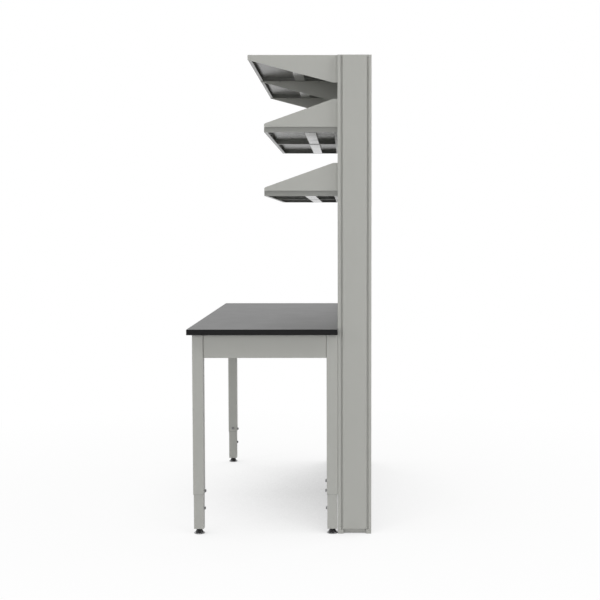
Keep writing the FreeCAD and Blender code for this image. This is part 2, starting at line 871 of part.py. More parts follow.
def make_rails():
    """Rails tie the three uprights together at the lowest and the highest rungs."""
    start_x = S["rung_width"] / 2
    stop_x = CORE_END - S["post_width"]
    width = S["rail_width"]
    middle_y = (CHASE_FRONT + CHASE_REAR) / 2
    rails = []
    for level, height in (("low", RUNG_HEIGHTS[0]), ("top", RUNG_HEIGHTS[-1])):
        for name, low_x, high_x in (("left", -stop_x, -start_x), ("right", start_x, stop_x)):
            wall = S["post_wall"]
            outer = box_between(
                f"{level}_{name}_rail_outer", (low_x, middle_y - width / 2, height),
                (high_x, middle_y + width / 2, height + S["rung_height"]),
            )
            inner = box_between(
                f"{level}_{name}_rail_inner", (low_x - 1, middle_y - width / 2 + wall, height + wall),
                (high_x + 1, middle_y + width / 2 - wall, height + S["rung_height"] - wall),
            )
            rails.append(cut(f"{level}_{name}_rail", outer, [inner]))
    node(group("rail_set", rails), "core_rails")


def make_cap():
    """The cap closes the chase and the posts, and stops at the bottoms of the end grooves."""
    end_x = CORE_END - S["groove_depth"]
    cap = box_between("cap_sheet", (-end_x, CORE_FRONT, POST_TOP), (end_x, CORE_REAR, TOP_SHELF_TOP))
    node(cap, "core_top_cap")


def make_shoes():
    """Each upright stands on two blocks, joined by a web that is set back and clear of the floor."""
    shoes = []
    half = S["post_width"] / 2
    top = S["shoe_height"]
    web_half = half - S["shoe_web_inset"]
    over = S["shoe_overhang"]
    front_start, front_stop = POST_FRONT - over, CHASE_FRONT + over
    rear_start = CHASE_REAR - over
    for name, centre in (("left", -POST_CENTRE), ("middle", as_length(0.0)), ("right", POST_CENTRE)):
        low_x, high_x = centre - half, centre + half
        shoes.append(fuse(f"{name}_shoe", [
            box_between(f"{name}_front_block", (low_x, front_start, 0.0), (high_x, front_stop, top)),
            box_between(f"{name}_rear_block", (low_x, rear_start, 0.0), (high_x, CORE_REAR, top)),
            box_between(
                f"{name}_shoe_web", (centre - web_half, front_stop, S["shoe_web_lift"]),
                (centre + web_half, rear_start, top),
            ),
        ]))
    node(group("shoe_set", shoes), "core_shoes")


# ---------------------------------------------------------------- shelves

def hook_height(lowest):
    """The first slot at or above a height."""
    steps = rounded_up((lowest - SLOT_START) / S["slot_pitch"])
    return SLOT_START + steps * S["slot_pitch"]


def hooks(name, low_x, high_x, lowest):
    """Two tabs on a bracket's rear edge, each in a slot of the standard."""
    first = hook_height(lowest + S["hook_edge"])
    clear = S["hook_play"] / 2
    tabs = []
    for step in (0, 2):
        slot = first + step * S["slot_pitch"]
        tabs.append(box_between(
            f"{name}_hook_{step}", (low_x, CORE_FRONT - S["hook_edge"], slot + clear),
            (high_x, CORE_FRONT + S["hook_depth"], slot + S["slot_height"] - clear),
        ))
    return tabs


def screw_rows(depth):
    """Where the screws of one flange lie, measured forwards from the core."""
    return (depth / 4, depth * 3 / 4)


# each bracket place: its name, the middle of its plate, and the sides on which it carries a tray
BRACKET_PLACES = [
    ("left", -POST_CENTRE, (1,)),
    ("middle", as_length(0.0), (-1, 1)),
    ("right", POST_CENTRE, (-1,)),
]


def flange_screws(level, depth, flange, seat, direction):
    """The screws that hold one level's trays to its brackets."""
    places = []
    for name, centre, sides in BRACKET_PLACES:
        for side in sides:
            across = centre + side * (S["bracket_sheet"] / 2 + flange / 2)
            for row, inward in enumerate(screw_rows(depth)):
                label = f"{level}_{name}_{side + 1}_{row}"
                places.append((label, (across, CORE_FRONT - inward, seat), direction))
    return places


def make_top_bracket(name, centre, sides, holes):
    """A plate that closes the tray's end and tapers forwards below it, with flanges under the tray."""
    sheet = S["bracket_sheet"]
    low_x, high_x = centre - sheet / 2, centre + sheet / 2
    front_y = CORE_FRONT - S["top_shelf_depth"]
    bottom = TOP_SHELF_TOP - S["top_bracket_height"]
    tray_bottom = TOP_SHELF_TOP - S["top_tray_height"]
    nose_bottom = tray_bottom - sheet
    outline = [
        (front_y, nose_bottom), (CORE_FRONT - S["gusset_flat"], bottom), (CORE_FRONT, bottom),
        (CORE_FRONT, TOP_SHELF_TOP), (front_y, TOP_SHELF_TOP),
    ]
    plate = pad(f"top_{name}_plate", "YZ_Plane", [outline], sheet, (low_x, 0.0, 0.0))
    pieces = [plate] + hooks(f"top_{name}", low_x, high_x, bottom)
    for side in sides:
        inner = centre + side * sheet / 2
        reach = inner + side * S["bracket_flange"]
        start, stop = (inner, reach) if side > 0 else (reach, inner)
        pieces.append(box_between(
            f"top_{name}_flange_{side + 1}", (start, front_y + S["tray_return"], nose_bottom),
            (stop, CORE_FRONT, tray_bottom),
        ))
    solid = fuse(f"top_{name}_bracket", pieces)
    node(cut(f"top_{name}_bracket_cut", solid, holes), f"top_shelf_bracket_{name}")


def make_gusset(level, name, centre, sides, bottom, holes):
    """A tapered plate that stands on the trays' ends, with flanges screwed down on them."""
    sheet = S["bracket_sheet"]
    low_x, high_x = centre - sheet / 2, centre + sheet / 2
    front_y = CORE_FRONT - S["shelf_depth"]
    top = bottom + S["gusset_height"]
    outline = [
        (front_y, bottom), (CORE_FRONT, bottom), (CORE_FRONT, top),
        (CORE_FRONT - S["gusset_flat"], top), (front_y, bottom + S["gusset_nose_height"]),
    ]
    plate = pad(f"{level}_{name}_plate", "YZ_Plane", [outline], sheet, (low_x, 0.0, 0.0))
    nose_height = (bottom + S["gusset_nose_height"]).value

    def nose(edge):
        middle = edge.CenterOfMass
        at_nose = abs(middle.y - front_y.value) < 0.01 and abs(middle.z - nose_height) < 0.01
        return runs_along(edge, "x") and at_nose

    round_edges(plate, S["gusset_nose_radius"], nose)
    pieces = [plate] + hooks(f"{level}_{name}", low_x, high_x, bottom)
    for side in sides:
        inner = centre + side * sheet / 2
        reach = inner + side * S["gusset_flange"]
        start, stop = (inner, reach) if side > 0 else (reach, inner)
        pieces.append(box_between(
            f"{level}_{name}_flange_{side + 1}", (start, front_y + S["tray_return"], bottom),
            (stop, CORE_FRONT, bottom + sheet),
        ))
    solid = fuse(f"{level}_{name}_gusset", pieces)
    node(cut(f"{level}_{name}_gusset_cut", solid, holes), f"{level}_shelf_gusset_{name}")


def make_tray(level, name, low_x, high_x, depth, top, height, holes):
    """A folded tray, open below, with lips all round that turn in at their lower edges."""
    sheet = S["tray_sheet"]
    back = S["tray_return"]
    front_y = CORE_FRONT - depth
    outer = box_between(f"{level}_{name}_outer", (low_x, front_y, top - height), (high_x, CORE_FRONT, top))
    hollow = box_between(
        f"{level}_{name}_hollow", (low_x + sheet, front_y + sheet, top - height + sheet),
        (high_x - sheet, CORE_FRONT - sheet, top - sheet),
    )
    mouth = box_between(
        f"{level}_{name}_mouth", (low_x + back, front_y + back, top - height - 1),
        (high_x - back, CORE_FRONT - back, top - height / 2),
    )
    node(cut(f"{level}_{name}_tray_cut", outer, [hollow, mouth] + holes), f"{level}_shelf_tray_{name}")


def make_hat(level, name, low_x, high_x, depth, top, height):
    """A hat-shaped stiffener under a tray, its crown level with the tray's lower edges."""
    sheet = S["tray_sheet"]
    half = S["hat_width"] / 2
    flange = S["hat_flange"]
    middle = CORE_FRONT - depth + S["hat_centre"]
    roof = top - sheet
    crown = top - height
    outline = [
        (middle - half - flange, roof), (middle - half - flange, roof - sheet),
        (middle - half, roof - sheet), (middle - half, crown), (middle + half, crown),
        (middle + half, roof - sheet), (middle + half + flange, roof - sheet),
        (middle + half + flange, roof), (middle + half - sheet, roof),
        (middle + half - sheet, crown + sheet), (middle - half + sheet, crown + sheet),
        (middle - half + sheet, roof),
    ]
    margin = S["tray_return"] + S["hat_end_gap"]
    return pad(
        f"{level}_{name}_hat", "YZ_Plane", [outline], high_x - low_x - 2 * margin,
        (low_x + margin, 0.0, 0.0),
    )


def make_shelves():
    hats = []
    screws = []
    sheet = S["bracket_sheet"]
    levels = (
        ("top", S["top_shelf_depth"], TOP_SHELF_TOP, S["top_tray_height"]),
        ("middle", S["shelf_depth"], MIDDLE_TRAY_TOP, S["tray_height"]),
        ("low", S["shelf_depth"], LOW_TRAY_TOP, S["tray_height"]),
    )
    for level, depth, tray_top, height in levels:
        if level == "top":
            seat, direction, flange = tray_top - height - sheet, (0, 0, -1), S["bracket_flange"]
            outer_x = POST_CENTRE - sheet / 2
            inner_x = sheet / 2
        else:
            seat, direction, flange = tray_top + sheet, (0, 0, 1), S["gusset_flange"]
            outer_x = POST_CENTRE + sheet / 2 - S["tray_setback"]
            inner_x = S["tray_joint"]
        places = flange_screws(level, depth, flange, seat, direction)
        grip = sheet + S["shelf_screw_reach"]
        holes = [screw_hole(f"{label}_hole", point, way, grip + 1) for label, point, way in places]
        screws += [screw(f"{label}_screw", point, way, grip) for label, point, way in places]
        for name, centre, sides in BRACKET_PLACES:
            if level == "top":
                make_top_bracket(name, centre, sides, holes)
            else:
                make_gusset(level, name, centre, sides, tray_top, holes)
        for name, low_x, high_x in (("left", -outer_x, -inner_x), ("right", inner_x, outer_x)):
            make_tray(level, name, low_x, high_x, depth, tray_top, height, holes)
            hats.append(make_hat(level, name, low_x, high_x, depth, tray_top, height))
    node(group("hat_set", hats), "shelf_stiffeners")
    node(group("shelf_screw_set", screws), "shelf_screws")


# ---------------------------------------------------------------- the whole bench

make_worktop()
make_upper_legs()
make_cross_rail(*make_aprons())
make_table_fasteners()
for leg_name, leg_end, leg_row, leg_line in LEGS:
    make_lower_leg(leg_name, leg_end, leg_row, leg_line)
    make_foot(leg_name, leg_end, leg_line)
make_uprights()
make_standards()
make_end_covers()
make_panels()
make_rails()
make_cap()
make_shoes()
make_shelves()

doc.recompute()

failed = [item.Name for item in doc.Objects if "Invalid" in item.State or "Error" in item.State]
if failed:
    raise RuntimeError(f"these objects did not build: {failed}")

os.makedirs("parts", exist_ok=True)
for item in NODES:
    if item.Shape.isNull() or not item.Shape.isValid():
        raise RuntimeError(f"{item.Label} has no valid shape")
    item.Shape.exportStep(f"parts/{item.Label}.step")
    print(f"{item.Label:32s} {len(item.Shape.Solids):3d} solids {item.Shape.Volume / 1e6:9.4f} litres")
print(len(NODES), "nodes")
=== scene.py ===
# %% [markdown]
# # A lab bench with a reagent shelf
#
# A table on four telescopic legs stands against a tall, narrow steel core, and the core carries
# three levels of folded shelves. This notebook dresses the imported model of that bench: it gives
# every surface its finish, and it remakes what lives by its rounding, such as feet, bolt heads and
# the folded edges of sheet steel. Nothing here moves or resizes the bench.

# %% Load the bench
import json
import math

import bmesh
import bpy
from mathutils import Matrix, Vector


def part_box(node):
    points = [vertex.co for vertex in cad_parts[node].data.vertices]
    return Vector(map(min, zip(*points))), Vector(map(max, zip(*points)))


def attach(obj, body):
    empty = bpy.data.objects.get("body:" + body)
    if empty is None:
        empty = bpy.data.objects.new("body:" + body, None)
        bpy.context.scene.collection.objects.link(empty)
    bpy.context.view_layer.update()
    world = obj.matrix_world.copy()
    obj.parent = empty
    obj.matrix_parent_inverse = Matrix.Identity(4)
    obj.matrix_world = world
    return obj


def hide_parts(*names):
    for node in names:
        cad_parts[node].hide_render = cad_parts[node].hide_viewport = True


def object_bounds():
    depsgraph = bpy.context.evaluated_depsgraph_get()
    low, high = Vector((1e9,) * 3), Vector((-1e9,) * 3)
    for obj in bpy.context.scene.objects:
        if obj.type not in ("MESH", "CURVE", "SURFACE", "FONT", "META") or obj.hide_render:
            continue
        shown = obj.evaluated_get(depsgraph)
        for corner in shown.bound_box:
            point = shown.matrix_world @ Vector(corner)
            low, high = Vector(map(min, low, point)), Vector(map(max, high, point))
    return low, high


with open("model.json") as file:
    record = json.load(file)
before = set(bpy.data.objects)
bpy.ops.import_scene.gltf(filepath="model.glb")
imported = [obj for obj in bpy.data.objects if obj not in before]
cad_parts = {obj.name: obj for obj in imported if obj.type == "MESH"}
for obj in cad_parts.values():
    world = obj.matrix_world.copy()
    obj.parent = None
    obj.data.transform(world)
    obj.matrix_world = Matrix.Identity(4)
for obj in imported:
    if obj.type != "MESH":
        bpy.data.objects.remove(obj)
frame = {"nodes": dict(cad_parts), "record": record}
size_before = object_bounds()

NODES = frame["nodes"]
BODY_OF = {}
for body_name, members in frame["record"]["behaviour"]["bodies"].items():
    for member in members:
        BODY_OF[member] = body_name

# %% [markdown]
# ## Measures
#
# Everything is in metres, in the bench's own frame: X along the worktop, the user on the -Y side,
# Z up from the floor. Places come from the boxes of the bench's pieces, so a changed bench moves
# the details with it. Only sizes that the plain solids don't show are written here as numbers.

# %% Measures
MM = 0.001
SAME_PLANE = 0.05 * MM
worktop_low, worktop_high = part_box("worktop")
core_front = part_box("core_upright_right")[0].y
bench_low, bench_high = size_before
LEGS = ("front_left", "front_right", "rear_left", "rear_right")


def nodes_named(*starts):
    """The bench's pieces whose names start with one of the given words."""
    return sorted(name for name in NODES if name.startswith(starts))


print("worktop", [round(side, 4) for side in worktop_high - worktop_low])
print("whole bench", [round(side, 4) for side in bench_high - bench_low])

# %% [markdown]
# ## Small tools for modelling
#
# Blender's operators act on whatever is selected, so each step starts from an empty selection.
# Faces and edges are then picked by their place or direction, which says more than an index would.
# A finished piece has its place in its mesh and its object at the origin.

# %% Selection and edit mode
def start_fresh():
    """Leave edit mode and deselect everything."""
    if bpy.context.object and bpy.context.object.mode != "OBJECT":
        bpy.ops.object.mode_set(mode="OBJECT")
    bpy.ops.object.select_all(action="DESELECT")


def make_active(piece):
    """Select one piece alone and make it the active one."""
    start_fresh()
    piece.select_set(True)
    bpy.context.view_layer.objects.active = piece


def enter_edit(piece):
    """Open one piece in edit mode."""
    make_active(piece)
    bpy.ops.object.mode_set(mode="EDIT")


def pick(piece, kind, wanted):
    """In edit mode, select the faces or edges for which wanted(element) is true."""
    bpy.ops.mesh.select_mode(type="FACE" if kind == "faces" else "EDGE")
    bpy.ops.mesh.select_all(action="DESELECT")
    mesh = bmesh.from_edit_mesh(piece.data)
    chosen = [element for element in getattr(mesh, kind) if wanted(element)]
    for element in chosen:
        element.select = True
    mesh.select_flush_mode()
    bmesh.update_edit_mesh(piece.data)
    return len(chosen)


# %% Finishing and copying
def settle(piece):
    """Put the piece's place, turn and scale into its mesh."""
    make_active(piece)
    bpy.ops.object.transform_apply(location=True, rotation=True, scale=True)


def apply_modifier(piece, kind, **settings):
    """Add one modifier, set it and apply it."""
    make_active(piece)
    modifier = piece.modifiers.new(kind.title(), kind)
    for name, value in settings.items():
        setattr(modifier, name, value)
    bpy.ops.object.modifier_apply(modifier=modifier.name)


def copy_of(piece, name):
    """A second piece with its own mesh."""
    twin = piece.copy()
    twin.data = piece.data.copy()
    twin.name = twin.data.name = name
    bpy.context.scene.collection.objects.link(twin)
    return twin


def shade(piece, degrees=35):
    """Smooth shading that breaks at sharp edges."""
    make_active(piece)
    bpy.ops.object.shade_smooth_by_angle(angle=math.radians(degrees))


# %% [markdown]
# ## Node groups that several finishes share
#
# A shader node group is a recipe that can be placed in many materials. These groups put out only
# numbers, colours and normals that change over the surface; each material keeps its own shader.
# Three follow: the skin of powder coat, worn edges and the marks of handling.

# %% Helpers for node trees
def new_group(name, inputs, outputs):
    """An empty shader node group with named sockets."""
    tree = bpy.data.node_groups.new(name, "ShaderNodeTree")
    for label, kind, value in inputs:
        socket = tree.interface.new_socket(name=label, in_out="INPUT", socket_type=kind)
        if value is not None:
            socket.default_value = value
    for label, kind in outputs:
        tree.interface.new_socket(name=label, in_out="OUTPUT", socket_type=kind)
    entry = tree.nodes.new("NodeGroupInput")
    leave = tree.nodes.new("NodeGroupOutput")
    return tree, entry.outputs, leave.inputs


def add(tree, kind, links=None, **settings):
    """One node, with its settings and its inputs; an input is a number, a colour or a socket."""
    node = tree.nodes.new(kind)
    for name, value in settings.items():
        setattr(node, name, value)
    for name, value in (links or {}).items():
        if isinstance(value, bpy.types.NodeSocket):
            tree.links.new(value, node.inputs[name])
        else:
            node.inputs[name].default_value = value
    return node


# %% Sums, ranges, noise and colours
def arithmetic(tree, operation, first, second, clamp=False):
    """The result of one sum."""
    links = {0: first, 1: second}
    return add(tree, "ShaderNodeMath", links, operation=operation, use_clamp=clamp).outputs[0]


def remap(tree, value, low, high, to_low, to_high):
    """A value stretched from one range to another, and held inside it."""
    links = {"Value": value, "From Min": low, "From Max": high, "To Min": to_low, "To Max": to_high}
    return add(tree, "ShaderNodeMapRange", links, clamp=True).outputs["Result"]


def noise(tree, place, scale, detail=3.0, roughness=0.5):
    """Soft noise; scale is in cycles per metre."""
    links = {"Vector": place, "Scale": scale, "Detail": detail, "Roughness": roughness}
    return add(tree, "ShaderNodeTexNoise", links).outputs["Fac"]


def mix_colour(tree, share, first, second):
    """A colour between two colours."""
    links = {0: share, 6: first, 7: second}
    return add(tree, "ShaderNodeMix", links, data_type="RGBA").outputs[2]


# %% [markdown]
# ### The skin of powder coat
#
# Powder melts into a film that is never quite flat: fine pebbles ride on slower swells, which
# painters call orange peel. Real bumps of that size would take millions of faces, so two layers of
# noise give a height that only turns the normal. A third, very slow noise clouds the tone.

# %% The skin of powder coat
PEBBLES_PER_METRE = 900.0
SWELLS_PER_METRE = 210.0
CLOUDS_PER_METRE = 3.5
SWELL_SHARE = 0.5


def make_coat_skin():
    """Height of the orange peel, and a slow cloudiness in the film."""
    tree, given, result = new_group(
        "coat_skin",
        [("Place", "NodeSocketVector", None), ("Pebble Scale", "NodeSocketFloat", PEBBLES_PER_METRE)],
        [("Height", "NodeSocketFloat"), ("Cloud", "NodeSocketFloat")],
    )
    fine = noise(tree, given["Place"], given["Pebble Scale"], 2.0, 0.45)
    coarse = noise(tree, given["Place"], SWELLS_PER_METRE, 2.0)
    height = arithmetic(tree, "ADD", fine, arithmetic(tree, "MULTIPLY", coarse, SWELL_SHARE))
    tree.links.new(height, result["Height"])
    tree.links.new(noise(tree, given["Place"], CLOUDS_PER_METRE, 3.0, 0.55), result["Cloud"])
    return tree


COAT_SKIN = make_coat_skin()
print("made", COAT_SKIN.name)

# %% [markdown]
# ### Worn edges
#
# Corners lose their coat first. A Bevel node gives the normal that a rounded corner would have, and
# where it leaves the face's true normal there is an edge. Noise breaks the mask into patches,
# because a wear line of even width looks drawn.

# %% Worn edges
EDGE_STARTS, EDGE_FULL = 0.97, 0.80
PATCHES_PER_METRE = 55.0
PATCH_STARTS, PATCH_FULL = 0.50, 0.72


def make_edge_wear():
    """A mask that is 1 on the worn edges: the rounded normal leaves the flat one there."""
    tree, given, result = new_group(
        "edge_wear",
        [
            ("Place", "NodeSocketVector", None), ("Width", "NodeSocketFloat", 0.0012),
            ("Amount", "NodeSocketFloat", 0.5),
        ],
        [("Mask", "NodeSocketFloat")],
    )
    rounded = add(tree, "ShaderNodeBevel", {"Radius": given["Width"]}, samples=4)
    flat = add(tree, "ShaderNodeNewGeometry")
    links = {0: rounded.outputs["Normal"], 1: flat.outputs["True Normal"]}
    likeness = add(tree, "ShaderNodeVectorMath", links, operation="DOT_PRODUCT").outputs["Value"]
    edge = remap(tree, likeness, EDGE_STARTS, EDGE_FULL, 0.0, 1.0)
    specks = noise(tree, given["Place"], PATCHES_PER_METRE, 4.0, 0.65)
    patches = remap(tree, specks, PATCH_STARTS, PATCH_FULL, 0.0, 1.0)
    worn = arithmetic(tree, "MULTIPLY", edge, patches)
    tree.links.new(arithmetic(tree, "MULTIPLY", worn, given["Amount"], True), result["Mask"])
    return tree


EDGE_WEAR = make_edge_wear()
print("made", EDGE_WEAR.name)

# %% [markdown]
# ### Handling marks
#
# Sliding bottles and wiping cloths leave fine scratches that run mostly one way, and hands leave
# smears. A noise that is stretched far along one axis turns into lines, and a slow round noise
# gives the smears.

# %% Handling marks
SCRATCH_STARTS, SCRATCH_FULL = 0.60, 0.74
SMEARS_PER_METRE = 9.0
SMEAR_STARTS, SMEAR_FULL = 0.35, 0.68


def make_handling():
    """Fine scratches and a smeared tone, both between 0 and 1."""
    tree, given, result = new_group(
        "handling_marks",
        [("Place", "NodeSocketVector", None), ("Stretch", "NodeSocketVector", (6.0, 260.0, 60.0))],
        [("Scratch", "NodeSocketFloat"), ("Smear", "NodeSocketFloat")],
    )
    pulled = add(tree, "ShaderNodeMapping", {"Vector": given["Place"], "Scale": given["Stretch"]})
    lines = noise(tree, pulled.outputs["Vector"], 1.0, 6.0, 0.7)
    tree.links.new(remap(tree, lines, SCRATCH_STARTS, SCRATCH_FULL, 0.0, 1.0), result["Scratch"])
    smear = noise(tree, given["Place"], SMEARS_PER_METRE)
    tree.links.new(remap(tree, smear, SMEAR_STARTS, SMEAR_FULL, 0.0, 1.0), result["Smear"])
    return tree


HANDLING = make_handling()
print("made", HANDLING.name)

# %% [markdown]
# ## Materials
#
# A small helper opens a material with a Principled shader and the object's own coordinates, in
# which a pattern stays on the piece when the piece moves.

# %% A material to fill
def new_material(name):
    """A material, its tree, its shader and its object coordinates."""
    material = bpy.data.materials.new(name)
    material.use_nodes = True
    tree = material.node_tree
    shader = tree.nodes["Principled BSDF"]
    place = tree.nodes.new("ShaderNodeTexCoord").outputs["Object"]
    return material, tree, shader, place


def use_group(tree, group, place, **values):
    """Place a node group and return its outputs."""
    node = tree.nodes.new("ShaderNodeGroup")
    node.node_tree = group
    tree.links.new(place, node.inputs["Place"])
    for name, value in values.items():
        node.inputs[name.replace("_", " ")].default_value = value
    return node.outputs


def bump(tree, shader, height, strength, distance):
    """Let a height disturb the shader's normal."""
    links = {"Height": height, "Strength": strength, "Distance": distance}
    node = add(tree, "ShaderNodeBump", links)
    tree.links.new(node.outputs["Normal"], shader.inputs["Normal"])


# %% [markdown]
# ### Grey powder coat
#
# Almost the whole bench is powder-coated steel in a warm light grey. The film is satin: it is
# matt when seen square on, and it mirrors the room at a glancing angle, which is why the undersides
# of the shelves brighten towards the viewer. Its skin is finely pebbled, its tone drifts a little,
# and the corners show a paler, harder rub where trolleys and hands have polished them. The trays
# get the same coat made darker than the frame: that darker tone is painted shade, standing in for
# the shade that falls on their lips and undersides.

# %% Grey powder coat
PAINT = (0.415, 0.417, 0.392, 1.0)
PAINT_SHADE = (0.408, 0.410, 0.385, 1.0)
PAINT_RUBBED = (0.50, 0.50, 0.475, 1.0)
# The tray tones are the frame's coat made darker: painted shade for their shaded lips and undersides.
PAINTED_SHADE_TRAY_TONE = (0.275, 0.277, 0.261, 1.0)
PAINTED_SHADE_TRAY_DRIFT = (0.269, 0.271, 0.255, 1.0)
PAINT_ROUGHNESS, TRAY_ROUGHNESS = 0.335, 0.24
PAINT_GRAIN, TRAY_GRAIN = 0.10, 0.04
PEBBLE_DEPTH = 0.2 * MM
SMEAR_POLISH, RUB_POLISH = 0.015, 0.08
COAT_REFRACTION = 1.5


def make_paint(name, light, shade, roughness, grain):
    """Satin powder coat that drifts between two close tones."""
    material, tree, shader, place = new_material(name)
    skin = use_group(tree, COAT_SKIN, place)
    rub = use_group(tree, EDGE_WEAR, place, Amount=0.6)
    marks = use_group(tree, HANDLING, place)
    tone = mix_colour(tree, remap(tree, skin["Cloud"], 0.25, 0.75, 0.0, 1.0), shade, light)
    tree.links.new(mix_colour(tree, rub["Mask"], tone, PAINT_RUBBED), shader.inputs["Base Color"])
    gloss = remap(tree, marks["Smear"], 0.0, 1.0, roughness, roughness - SMEAR_POLISH)
    polished = arithmetic(tree, "SUBTRACT", gloss, arithmetic(tree, "MULTIPLY", rub["Mask"], RUB_POLISH))
    tree.links.new(polished, shader.inputs["Roughness"])
    shader.inputs["IOR"].default_value = COAT_REFRACTION
    bump(tree, shader, skin["Height"], grain, PEBBLE_DEPTH)
    return material


PAINT_MATERIAL = make_paint("grey_powder_coat", PAINT, PAINT_SHADE, PAINT_ROUGHNESS, PAINT_GRAIN)
PAINTED_SHADE_TRAY_COAT = make_paint("tray_coat_with_painted_shade", PAINTED_SHADE_TRAY_TONE, PAINTED_SHADE_TRAY_DRIFT, TRAY_ROUGHNESS, TRAY_GRAIN)
print("made", PAINT_MATERIAL.name, "and", PAINTED_SHADE_TRAY_COAT.name)

# %% [markdown]
# ### Black resin worktop
#
# The worktop is cast epoxy resin, black all through. Straight on it is nearly black, as its cut
# edge shows; at a glancing angle its satin face mirrors the bright room and looks mid grey. The
# face carries a very fine pebble from the mould, faint wiping marks and a few paler flecks of use.

# %% Black resin worktop
RESIN = (0.0032, 0.0032, 0.0035, 1.0)
RESIN_WORN = (0.016, 0.016, 0.017, 1.0)
WIPING_STRETCH = (3.0, 140.0, 30.0)
FLECKS_PER_METRE, FLECK_STARTS, FLECK_FULL, FLECK_STRENGTH = 1400.0, 0.66, 0.74, 0.3
RESIN_ROUGHNESS, SMEARED_ROUGHNESS, SCRATCH_ROUGHNESS = 0.37, 0.385, 0.012
RESIN_REFRACTION = 1.52
MOULD_PEBBLES_PER_METRE, MOULD_GRAIN = 650.0, 0.06


def make_resin():
    """Satin black resin with wiping marks."""
    material, tree, shader, place = new_material("black_resin")
    marks = use_group(tree, HANDLING, place, Stretch=WIPING_STRETCH)
    rub = use_group(tree, EDGE_WEAR, place, Amount=0.5, Width=0.0016)
    grit = noise(tree, place, FLECKS_PER_METRE, 2.0, 0.6)
    flecks = remap(tree, grit, FLECK_STARTS, FLECK_FULL, 0.0, FLECK_STRENGTH)
    worn = arithmetic(tree, "MAXIMUM", rub["Mask"], flecks)
    tree.links.new(mix_colour(tree, worn, RESIN, RESIN_WORN), shader.inputs["Base Color"])
    dull = remap(tree, marks["Smear"], 0.0, 1.0, RESIN_ROUGHNESS, SMEARED_ROUGHNESS)
    scratches = arithmetic(tree, "MULTIPLY", marks["Scratch"], SCRATCH_ROUGHNESS)
    tree.links.new(arithmetic(tree, "ADD", dull, scratches), shader.inputs["Roughness"])
    shader.inputs["IOR"].default_value = RESIN_REFRACTION
    bump(tree, shader, noise(tree, place, MOULD_PEBBLES_PER_METRE), MOULD_GRAIN, PEBBLE_DEPTH)
    return material


RESIN_MATERIAL = make_resin()
print("made", RESIN_MATERIAL.name)

# %% [markdown]
# ### Plated metals
#
# Bolts, screws and studs are zinc-plated: a bluish grey metal, cloudy rather than mirror bright. The
# hidden rails and the hat sections under the shelves are galvanised, with the pale crystals that
# zinc leaves when it sets. The feet have a pressed steel rim. Cells of a Voronoi texture are the
# crystals, and one function makes all three metals from a row of values.

# %% Plated metals
METAL_STRETCH = (90.0, 900.0, 300.0)
METALS = {
    # name: pale and dark crystals, roughness, crystals per metre, how metallic
    "zinc_plate": ((0.30, 0.30, 0.305, 1.0), (0.23, 0.23, 0.235, 1.0), 0.30, 420.0, 0.6),
    "galvanised": ((0.74, 0.74, 0.74, 1.0), (0.69, 0.69, 0.69, 1.0), 0.20, 70.0, 1.0),
    "steel_rim": ((0.44, 0.44, 0.45, 1.0), (0.36, 0.36, 0.37, 1.0), 0.30, 300.0, 1.0),
}


def make_metal(name, pale, dark, roughness, crystals_per_metre, metallic):
    """A plated metal whose tone changes from crystal to crystal; a dull coat is less metallic."""
    material, tree, shader, place = new_material(name)
    crystals = add(tree, "ShaderNodeTexVoronoi", {"Vector": place, "Scale": crystals_per_metre})
    share = add(tree, "ShaderNodeSeparateColor", {"Color": crystals.outputs["Color"]}).outputs[0]
    marks = use_group(tree, HANDLING, place, Stretch=METAL_STRETCH)
    tree.links.new(mix_colour(tree, share, dark, pale), shader.inputs["Base Color"])
    shader.inputs["Metallic"].default_value = metallic
    rough = remap(tree, marks["Smear"], 0.0, 1.0, roughness - 0.02, roughness + 0.04)
    tree.links.new(rough, shader.inputs["Roughness"])
    return material


ZINC_MATERIAL, GALVANISED_MATERIAL, RIM_MATERIAL = (
    make_metal(name, *values) for name, values in METALS.items()
)
print("made", ", ".join(METALS))

# %% [markdown]
# ### Moulded parts
#
# The cones of the feet and the dark collars under the upper tubes are black nylon, and the soles are duller
# rubber. Both come out of a mould with a faint grain, and their corners turn a little paler with wear.

# %% Moulded parts
MOULDINGS = {
    # name: colour, roughness
    "black_nylon": ((0.022, 0.022, 0.023, 1.0), 0.32),
    "foot_rubber": ((0.035, 0.034, 0.033, 1.0), 0.62),
}
GRAINS_PER_METRE, MOULDED_GRAIN, GRAIN_DEPTH = 1600.0, 0.12, 0.1 * MM


def make_moulding(name, colour, roughness):
    """A moulded plastic or rubber with a faint grain."""
    material, tree, shader, place = new_material(name)
    marks = use_group(tree, HANDLING, place)
    rub = use_group(tree, EDGE_WEAR, place, Amount=0.7, Width=0.0006)
    paler = tuple(min(1.0, channel * 2.6 + 0.02) for channel in colour[:3]) + (1.0,)
    tree.links.new(mix_colour(tree, rub["Mask"], colour, paler), shader.inputs["Base Color"])
    rough = remap(tree, marks["Smear"], 0.0, 1.0, roughness - 0.05, roughness + 0.1)
    tree.links.new(rough, shader.inputs["Roughness"])
    bump(tree, shader, noise(tree, place, GRAINS_PER_METRE, 2.0), MOULDED_GRAIN, GRAIN_DEPTH)
    return material


NYLON_MATERIAL, RUBBER_MATERIAL = (
    make_moulding(name, *values) for name, values in MOULDINGS.items()
)
SLOT_MATERIALS = {
    "grey_paint": PAINT_MATERIAL,
    "worktop_resin": RESIN_MATERIAL,
    "zinc_plate": ZINC_MATERIAL,
    "galvanised_steel": GALVANISED_MATERIAL,
    "foot_black": NYLON_MATERIAL,
}
print("finishes:", ", ".join(sorted(SLOT_MATERIALS)))

# %% [markdown]
# ## Dress the plain pieces
#
# The record of the bench names a material slot for every piece, so one loop can give each piece its
# finish. Pieces that are remade further down get theirs again when they are handed in.

# %% Give each piece its finish
SLOT_OF = {row["node"]: row["material_slot"] for row in frame["record"]["subparts"]}


